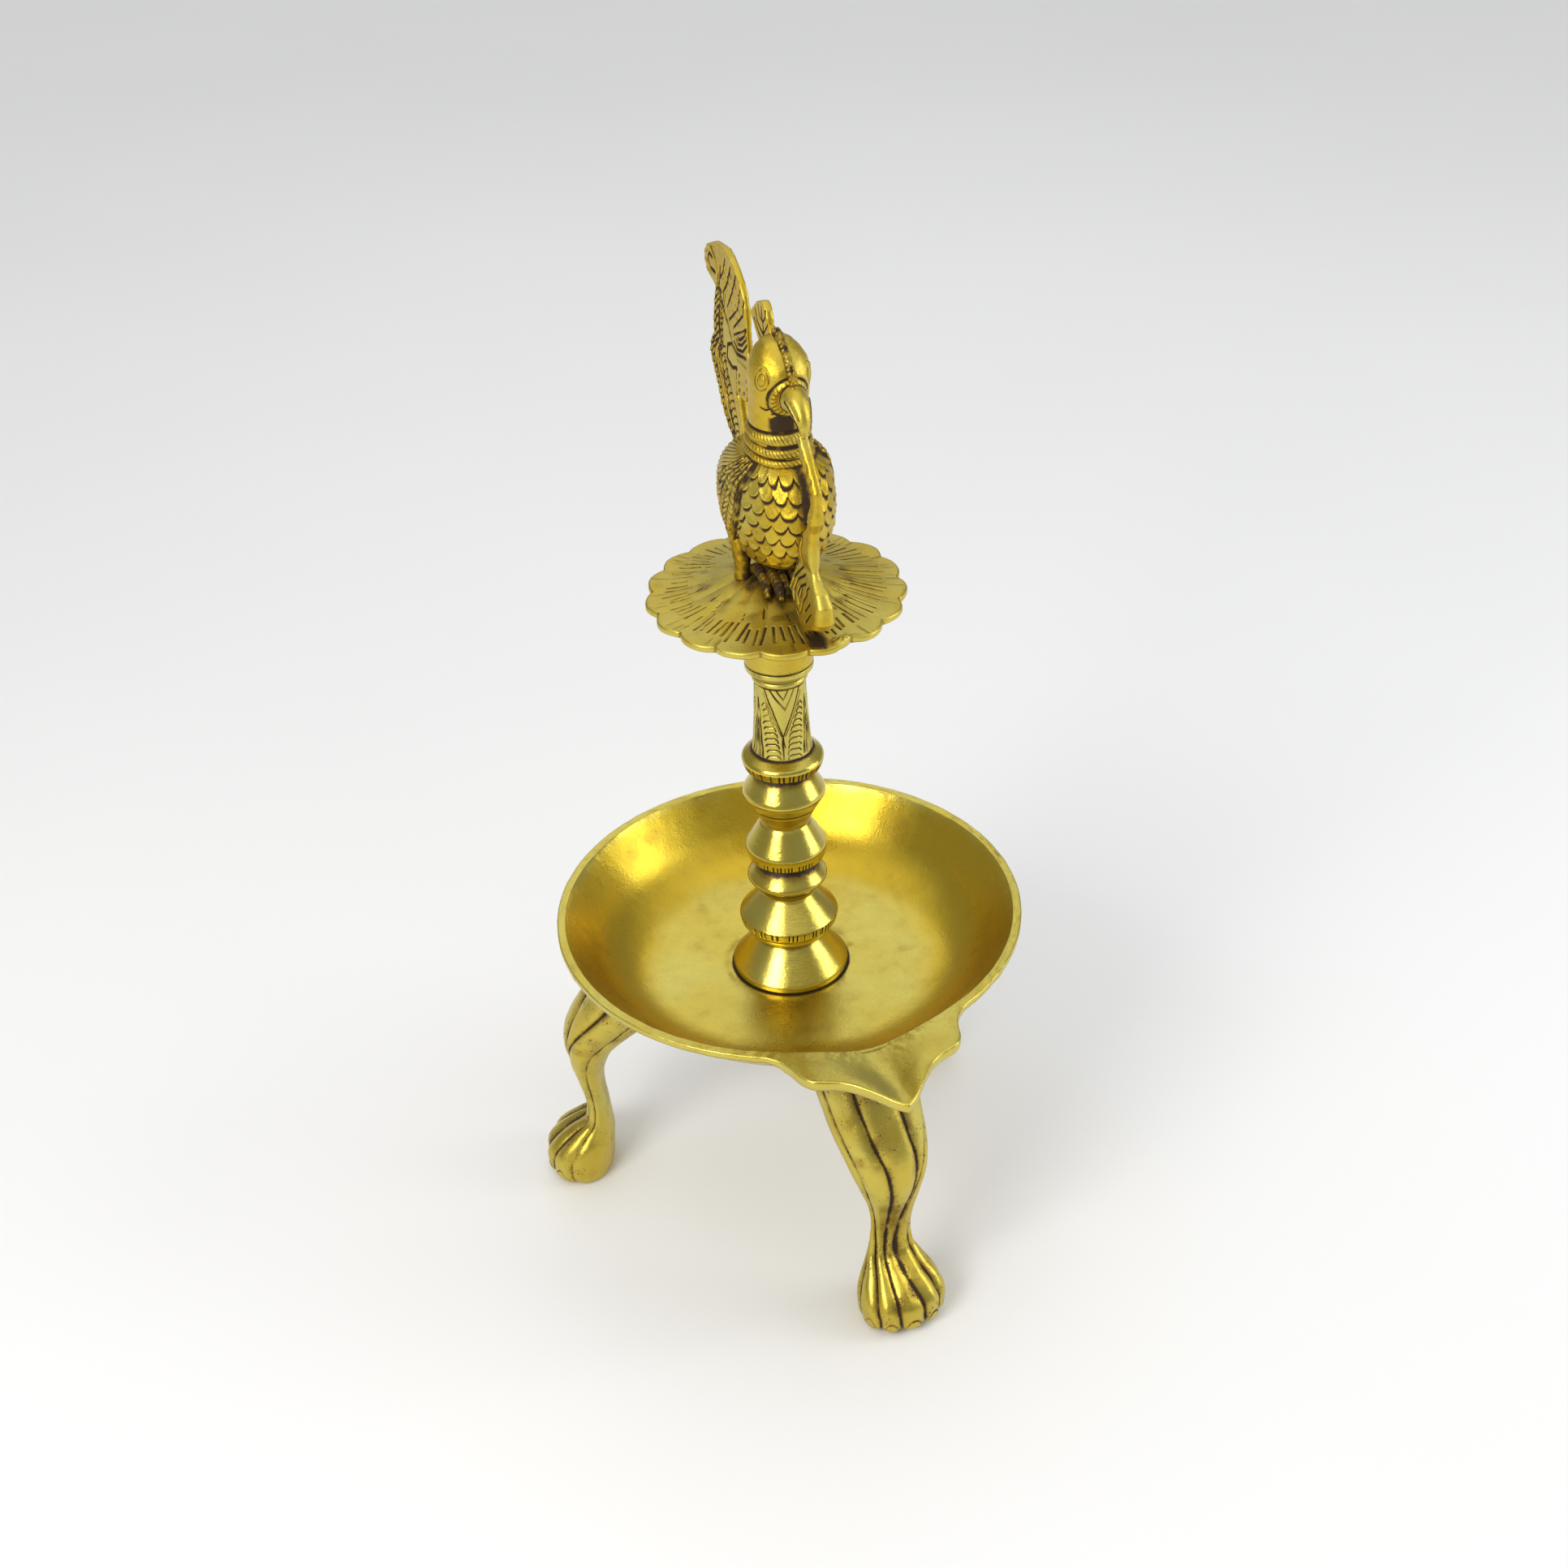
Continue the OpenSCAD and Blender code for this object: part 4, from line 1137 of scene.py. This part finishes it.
def tailStrokes():
    # lines along the back edge, and the beads between them
    edge = np.array(tailBack)[2:13]
    strokes = []
    for inset, wide in ((2.3, 0.28), (4.7, 0.34), (7.2, 0.26), (8.4, 0.2)):
        strokes.append(([(x + inset, z) for x, z in edge], wide))
    for k in range(17):
        z = beadFoot + beadStep * k
        x = np.interp(z, edge[:, 1], edge[:, 0])
        strokes += [([(x + inset, z - 1.0), (x + inset + 2.0, z + 0.6)], 0.26) for inset in (0.3, 2.6)]
    # feathers that fan from the middle line towards the front edge
    middleLine = [(-24.5, 264), (-27.5, 274), (-32, 284), (-35, 290), (-36.2, 300), (-35.0, 312), (-33, 319)]
    strokes += [(middleLine, 0.32),
                ([(-20.5, 266), (-22.5, 274), (-25.5, 281), (-29.5, 287), (-32.5, 292)], 0.28),
                ([(-25.6, 298.3), (-28.1, 302.3), (-30.7, 305.2), (-33.4, 308.5)], 0.38)]
    strokes += [([(-35.4, 297.0 + 2.0 * k), (-33.2, 295.1 + 2.0 * k)], 0.24) for k in range(9)]
    lineX, lineZ = np.array(middleLine[:5]).T
    for k in range(13):
        z = 268.0 + 2.1 * k
        x = np.interp(z, lineZ, lineX)
        strokes.append(([(x + 0.7, z), (x + 2.0, z + 1.5), (x + 3.8, z + 1.9)], 0.2))
        strokes.append(([(x - 0.7, z), (x - 1.9, z + 1.3)], 0.2))
    for feather in ([(-20.5, 320.2), (-23.4, 314.9), (-28.6, 308.6)],
                    [(-17.4, 317.0), (-19.6, 311.0), (-27.4, 305.0)],
                    [(-14.6, 315.5), (-15.6, 310.4), (-24.0, 303.8)],
                    [(-24.5, 321.5), (-27.6, 316.0), (-31.6, 311.6)],
                    [(-28.5, 322.6), (-31.0, 318.0), (-34.0, 315.0)]):
        strokes.append((feather, 0.30))
        (x0, z0), _, (x2, z2) = feather
        for t in (0.2, 0.45, 0.7):
            x, z = x0 + (x2 - x0) * t, z0 + (z2 - z0) * t
            strokes.append(([(x + 0.4, z + 0.6), (x + 1.5, z - 1.1)], 0.2))
    # nested loops above the little scroll
    for widen in (0, 1.8, 3.4):
        strokes.append(([(-11.4 - widen * 0.5, 309.0 - widen * 0.4),
                         (-12.6 - widen * 0.8, 303.0 + widen * 0.4),
                         (-17.0 - widen * 0.3, 299.0 + widen), (-21.4 + widen * 0.3, 298.0 + widen),
                         (-24.0 + widen, 299.6 + widen * 0.7)], 0.32))
    strokes += [([(-24.0, 301.6), (-16.0, 305.6), (-9.6, 309.2)], 0.24),
                ([(-30.1, 293.3), (-29.6, 296.6), (-26.4, 298.0), (-21.5, 296.6), (-14.6, 297.8)], 0.40),
                ([(-30.4, 292.5), (-26.0, 290.9), (-21.6, 292.3)], 0.40),
                ([(-22.4, 291.6), (-22.0, 284.0)], 0.30)]
    # hooked top
    strokes += [([(-38.0, 315.4), (-41.8, 315.6), (-43.6, 317.8), (-42.0, 320.0), (-39.6, 319.4)], 0.36),
                ([(-36.5, 312.0), (-35.2, 316.0), (-36.8, 320.0), (-40.0, 322.3)], 0.30)]
    dots = ((-19.6, 291.0), (-19.9, 288.6), (-19.6, 286.4), (-13.4, 291.6), (-13.0, 289.4), (-15.8, 286.9))
    strokes += [([(x, z), (x + 0.15, z + 0.1)], 0.42) for x, z in dots]
    return strokes


def makeTail():
    depth = 0.6
    points, half = slab(tailBack, tailFront, lambda z: 3.0 - 0.9 * ramp(z, 283, 303), 310, 140)
    cut = carve(points, tailStrokes(), depth, 1.9)
    x, z = points[..., 0], points[..., 2]
    edge = np.array(tailBack)
    inset = x - np.interp(z, edge[:, 1], edge[:, 0])
    bead = np.cos((z - beadFoot) / beadStep * turnFull) * bell(inset - 2.4, 2.2) * 0.16
    plain = (x > -21.5) & (z > 284.6) & (z < 295.2)
    soil = ramp(cut / depth, 0.15, 0.6) * (0.75 + 0.3 * ~plain)
    soil = soil + 0.25 * ramp(softNoise(points, 3.0, 110), 0.1, 0.8) * (z < 290)
    finishSlab("peacockTail", "peacock_tail", points, half, cut - bead - plain * 0.25, soil, 111)


def makeCrest():
    depth = 0.45
    back = [(1.2, 305.2), (-2.6, 306.7), (-4.8, 309.5), (-7, 312), (-8.6, 314), (-8.2, 315.2), (-6.6, 316.6),
            (-3.8, 319), (-1.4, 320.0), (0.2, 320.3)]
    front = [(2.0, 305.2), (4.0, 308), (6.0, 310.4), (7.0, 312), (6.4, 313.8), (4.6, 314.8), (4.4, 316.6),
             (3.4, 318.6), (2.0, 319.8), (0.8, 320.3)]
    points, half = slab(back, front, lambda z: 2.4 + 0 * z, 120, 70)
    strokes = [([(0.6, 307.5), (0.9, 313.6), (0.2, 319.0)], 0.28),
               ([(0.8, 311.0), (4.2, 314.6), (5.2, 317.5)], 0.28),
               ([(0.8, 311.0), (-3.6, 313.6), (-4.8, 316.5)], 0.28),
               ([(0.9, 314.5), (2.8, 316.6), (3.0, 319.0)], 0.26),
               ([(0.7, 314.5), (-1.6, 316.4), (-2.2, 318.6)], 0.26),
               ([(1.0, 308.6), (4.6, 310.6), (6.8, 313.4)], 0.28),
               ([(0.8, 308.4), (-2.8, 310.6), (-5.8, 313.4)], 0.28)]
    cut = carve(points, strokes, depth, 1.8)
    finishSlab("peacockCrest", "peacock_crest", points, half, cut, ramp(cut / depth, 0.15, 0.6), 121)


def makeVine():
    depth = 0.65
    back = [(29.2, 232.7), (25.3, 234.7), (22.9, 237), (20.6, 239.5), (16.8, 241.8), (17.4, 244), (20, 248),
            (22.5, 256), (25.0, 261), (29.0, 264.6), (31, 267), (32.2, 272), (33, 277.0), (30.2, 281.4),
            (26, 286.2), (24.8, 289.6), (25.9, 291.3)]
    front = [(30.6, 232.7), (35, 234.9), (39.6, 237.2), (41.0, 239.4), (40.6, 244.4), (38, 247.6),
             (34.5, 250.2), (33.0, 252), (33.0, 260), (34.2, 265), (36.4, 268.5), (36.6, 271.5), (36.2, 275),
             (36.8, 278), (34, 282.5), (28.6, 289), (26.6, 291.3)]
    wide = [(232.7, 6.2), (236, 7.0), (241, 6.0), (246, 4.6), (250, 3.3), (252, 2.4), (254, 3.2), (262, 3.3),
            (266, 3.4), (269, 3.9), (271.5, 3.4), (273.5, 2.6), (276, 2.3), (284, 2.6), (289, 2.9),
            (291.3, 2.2)]
    heights, widths = np.array(wide).T
    points, half = slab(back, front, lambda z: curveThrough(z, heights, widths), 300, 90, 0.9)
    strokes = [([(26.7, 251.5), (21.8, 246.4), (20.2, 241.8), (23.0, 237.0), (27.0, 235.4)], 0.34),
               ([(28.8, 250.0), (24.4, 246.6), (22.6, 242.4), (24.4, 238.6), (27.6, 237.2)], 0.32),
               ([(29.8, 247.6), (26.6, 245.4), (25.4, 242.6), (26.6, 240.2)], 0.34),
               ([(27.8, 245.4), (27.4, 242.4)], 0.40),
               ([(31.6, 245.8), (29.4, 241.6), (28.2, 237.8)], 0.30),
               ([(34.0, 243.4), (31.4, 239.8)], 0.32),
               ([(35.6, 241.0), (32.4, 237.0)], 0.32),
               ([(32.2, 247.8), (30.8, 246.0)], 0.3),
               ([(23.0, 251.6), (19.8, 246.8), (18.4, 242.4)], 0.28),
               ([(25.2, 260.8), (23.6, 256), (22.6, 250.4)], 0.26),
               ([(27.2, 261.8), (26.2, 257), (25.8, 252.8)], 0.34)]
    for k in range(14):
        z = 242.0 + 1.5 * k
        x = np.interp(z, [241, 248, 256, 263], [17.2, 20.4, 23.0, 26.6])
        strokes.append(([(x - 0.1, z), (x + 1.6, z + 1.2)], 0.25))
    cut = carve(points, strokes, depth, 1.7)
    height = points[..., 2]
    thin = ramp(height, 272, 275) * ramp(290 - height, 0, 2)
    cut = cut + thin * softNoise(points, 1.2, 130) * 0.25
    cut = cut - bell(height - 270, 2.2) * np.abs(softNoise(points, 1.8, 131)) * 0.6
    finishSlab("beakVine", "beak_vine", points, half, cut, ramp(cut / depth, 0.15, 0.6), 133)


makeTail()
makeCrest()
makeVine()
print("tail, crest and vine made")


# Geometry tree that sets small turned shapes along a line of points
beadTree = bpy.data.node_groups.new("beadRow", "GeometryNodeTree")
beadInputs = treeInputs(beadTree, [
    ("Rings", "Int", 8), ("Segments", "Int", 12), ("Radius", "Float", 0.0008), ("Variation", "Float", 0.2),
    ("Soil", "Float", 0.2), ("Seed", "Int", 2), ("Material", "Material", None)])


def buildBeadTree():
    g = Graph(beadTree)
    ask = g.node("NodeGroupInput")

    def scaled(vector, factor):
        sockets = {0: vector, "Scale": factor}
        return g.node("ShaderNodeVectorMath", {"operation": "SCALE"}, sockets)["Vector"]

    sockets = {"Segments": ask["Segments"], "Rings": ask["Rings"], "Radius": ask["Radius"]}
    ball = g.node("GeometryNodeMeshUVSphere", None, sockets)["Mesh"]
    where = g.node("GeometryNodeInputPosition")["Position"]
    lumps = g.noise(where, 900.0, 1.0)
    sockets = {"Geometry": ball, "Offset": scaled(where, (lumps - 0.5) * 0.3)}
    bumpy = g.node("GeometryNodeSetPosition", None, sockets)["Geometry"]
    smooth = g.node("GeometryNodeSetShadeSmooth", None, {"Geometry": bumpy})["Geometry"]
    turn = g.stored("FLOAT_VECTOR", "turn")
    rotation = g.node("FunctionNodeEulerToRotation", None, {"Euler": turn})["Rotation"]
    varied = 1 + (g.chance({"Seed": ask["Seed"]}) - 0.5) * ask["Variation"]
    sockets = {"Points": ask["Geometry"], "Instance": smooth, "Rotation": rotation,
               "Scale": scaled(g.stored("FLOAT_VECTOR", "size"), varied)}
    copies = g.node("GeometryNodeInstanceOnPoints", None, sockets)["Instances"]
    flat = g.node("GeometryNodeRealizeInstances", None, {"Geometry": copies})["Geometry"]
    finishTree(g, g.keepGrime(flat, ask["Soil"]), ask["Material"])


buildBeadTree()


def beadRow(name, points, turns, sizes, node, radius, soil, seed, variation=0.25):
    made = makeObject(name, place(points, birdTurn), [])
    for key, data in (("turn", turns), ("size", sizes)):
        layer = made.data.attributes.new(key, "FLOAT_VECTOR", "POINT")
        layer.data.foreach_set("vector", np.asarray(data, np.float32).reshape(-1))
    grow(made, beadTree, beadInputs, {"Radius": radius * mm, "Soil": soil, "Seed": seed,
                                      "Variation": variation, "Material": peacockBrass})
    handOver(made, None, node, "finial")


def alongLine(line, count):
    line = np.array(line, float)
    gone = pathLength(line)
    at = np.linspace(0, gone[-1], count)
    points = np.stack([curveThrough(at, gone, line[:, k]) for k in range(3)], -1)
    ahead = np.gradient(points, axis=0)
    return points, ahead / np.linalg.norm(ahead, axis=1, keepdims=True)


def makeComb():
    line = [(6.5, 0, 314.6), (9.6, 0, 314.9), (13.0, 0, 313.0), (16.4, 0, 310.0), (19.0, 0, 306.6),
            (20.6, 0, 303.6), (21.4, 0, 301.6)]
    spine = [(x - 0.6, y, z - 0.9) for x, y, z in line]
    ridge = tube(spine, [0.9, 1.7, 1.8, 1.75, 1.6, 1.3, 0.8], 90, 30, 0.85)
    ridge[..., 1] *= 0.8
    made = shell("combRidge", place(ridge, birdTurn), 0.35 + 0.4 * softNoise(ridge, 1.6, 141))
    handOver(made, peacockBrass, "peacock_body", "finial")
    points, ahead = alongLine(line, 17)
    beads, turns = [], []
    for side in (-0.55, 0.55):
        for point, way in zip(points[1:], ahead[1:]):
            beads.append((point[0], side, point[2] - 0.1))
            turns.append((0, math.atan2(-way[2], way[0]), birdTurn))
    sizes = [(0.9, 0.75, 0.85)] * len(beads)
    beadRow("combBeads", beads, turns, sizes, "peacock_body", 0.84, 0.25, 7)


makeComb()
print("comb made")


# What stays hidden keeps its CAD shape and gets aged brass
for name in ("tie_rod", "finial_stud", "base_washer", "base_nut"):
    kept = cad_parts[name]
    kept.data.materials.clear()
    kept.data.materials.append(hiddenBrass)


def paleFloor():
    material = bpy.data.materials.new("paleFloor")
    g = shaderGraph(material)
    spot = g.node("ShaderNodeTexCoord")["Object"]
    cloud = g.noise(spot, 3.0, 3.0)
    colour = g.mix(cloud, (0.87, 0.87, 0.87, 1), (0.92, 0.92, 0.92, 1))
    rough = 0.55 + g.noise(spot, 20.0) * 0.1
    shader = g.node("ShaderNodeBsdfPrincipled", None, {"Base Color": colour, "Roughness": rough})["BSDF"]
    g.node("ShaderNodeOutputMaterial", None, {"Surface": shader})
    return material


floorHalf = 9.0
floorCorners = [(-floorHalf, -floorHalf, 0), (floorHalf, -floorHalf, 0), (floorHalf, floorHalf, 0),
                (-floorHalf, floorHalf, 0)]
floor = makeObject("floor", floorCorners, [(0, 1, 2, 3)])
floor.data.materials.append(paleFloor())


def makeWorld():
    world = bpy.data.worlds.new("studio")
    g = shaderGraph(world)
    look = g.node("ShaderNodeTexCoord")["Generated"]
    up = g.node("ShaderNodeSeparateXYZ", None, {0: look})["Z"]
    # warm from below, dim at the sides and bright overhead
    stops = [(0.0, (0.60, 0.59, 0.57, 1)), (0.46, (0.60, 0.59, 0.57, 1)), (0.56, (0.40, 0.40, 0.40, 1)),
             (0.80, (0.42, 0.43, 0.44, 1)), (0.92, (1.25, 1.25, 1.25, 1)), (1.0, (1.5, 1.5, 1.5, 1))]
    sky = g.node("ShaderNodeValToRGB", {"stops": stops}, {"Fac": up * 0.5 + 0.5})["Color"]
    light = g.node("ShaderNodeBackground", None, {"Color": sky, "Strength": 0.82})["Background"]
    g.node("ShaderNodeOutputWorld", None, {"Surface": light})
    bpy.context.scene.world = world


def addLight(name, where, aim, size, power, colour=(1, 1, 1)):
    lamp = bpy.data.lights.new(name, "AREA")
    lamp.shape = "RECTANGLE"
    lamp.size, lamp.size_y = size
    lamp.energy = power
    lamp.color = colour
    made = bpy.data.objects.new(name, lamp)
    made.location = where
    made.rotation_euler = (Vector(aim) - Vector(where)).to_track_quat("-Z", "Y").to_euler()
    bpy.context.collection.objects.link(made)


makeWorld()
aim = (0, 0, 0.16)
addLight("keyLight", (-0.78, -0.5, 0.78), aim, (0.5, 0.5), 6.5, (1.0, 0.98, 0.94))
addLight("fillLight", (0.95, -0.35, 0.55), aim, (0.5, 0.7), 3.5, (0.96, 0.98, 1.0))
addLight("rimLight", (0.25, 0.9, 0.75), aim, (0.6, 0.4), 0.6)

cameraLook = {"distance": 0.5865, "bearing": -108.6, "height": 0.5543, "heading": 71.3965, "pitch": -33.82,
              "roll": -2.31, "lens": 51.95}


def addCamera(look):
    angles = [math.radians(look[key]) for key in ("bearing", "heading", "pitch", "roll")]
    bearing, heading, pitch, roll = angles
    position = Vector((axisX * mm + look["distance"] * math.cos(bearing),
                       axisY * mm + look["distance"] * math.sin(bearing), look["height"]))
    level = math.cos(pitch)
    forward = Vector((math.cos(heading) * level, math.sin(heading) * level, math.sin(pitch)))
    right = forward.cross(Vector((0, 0, 1))).normalized()
    up = right.cross(forward)
    cameraX = right * math.cos(roll) + up * math.sin(roll)
    cameraY = up * math.cos(roll) - right * math.sin(roll)
    matrix = Matrix((cameraX, cameraY, -forward)).transposed().to_4x4()
    matrix.translation = position
    data = bpy.data.cameras.new("camera")
    data.lens, data.sensor_width = look["lens"], 36.0
    data.clip_start, data.clip_end = 0.01, 20.0
    made = bpy.data.objects.new("camera", data)
    made.matrix_world = matrix
    bpy.context.collection.objects.link(made)
    bpy.context.scene.camera = made


addCamera(cameraLook)
bpy.context.scene.view_settings.view_transform = "Standard"
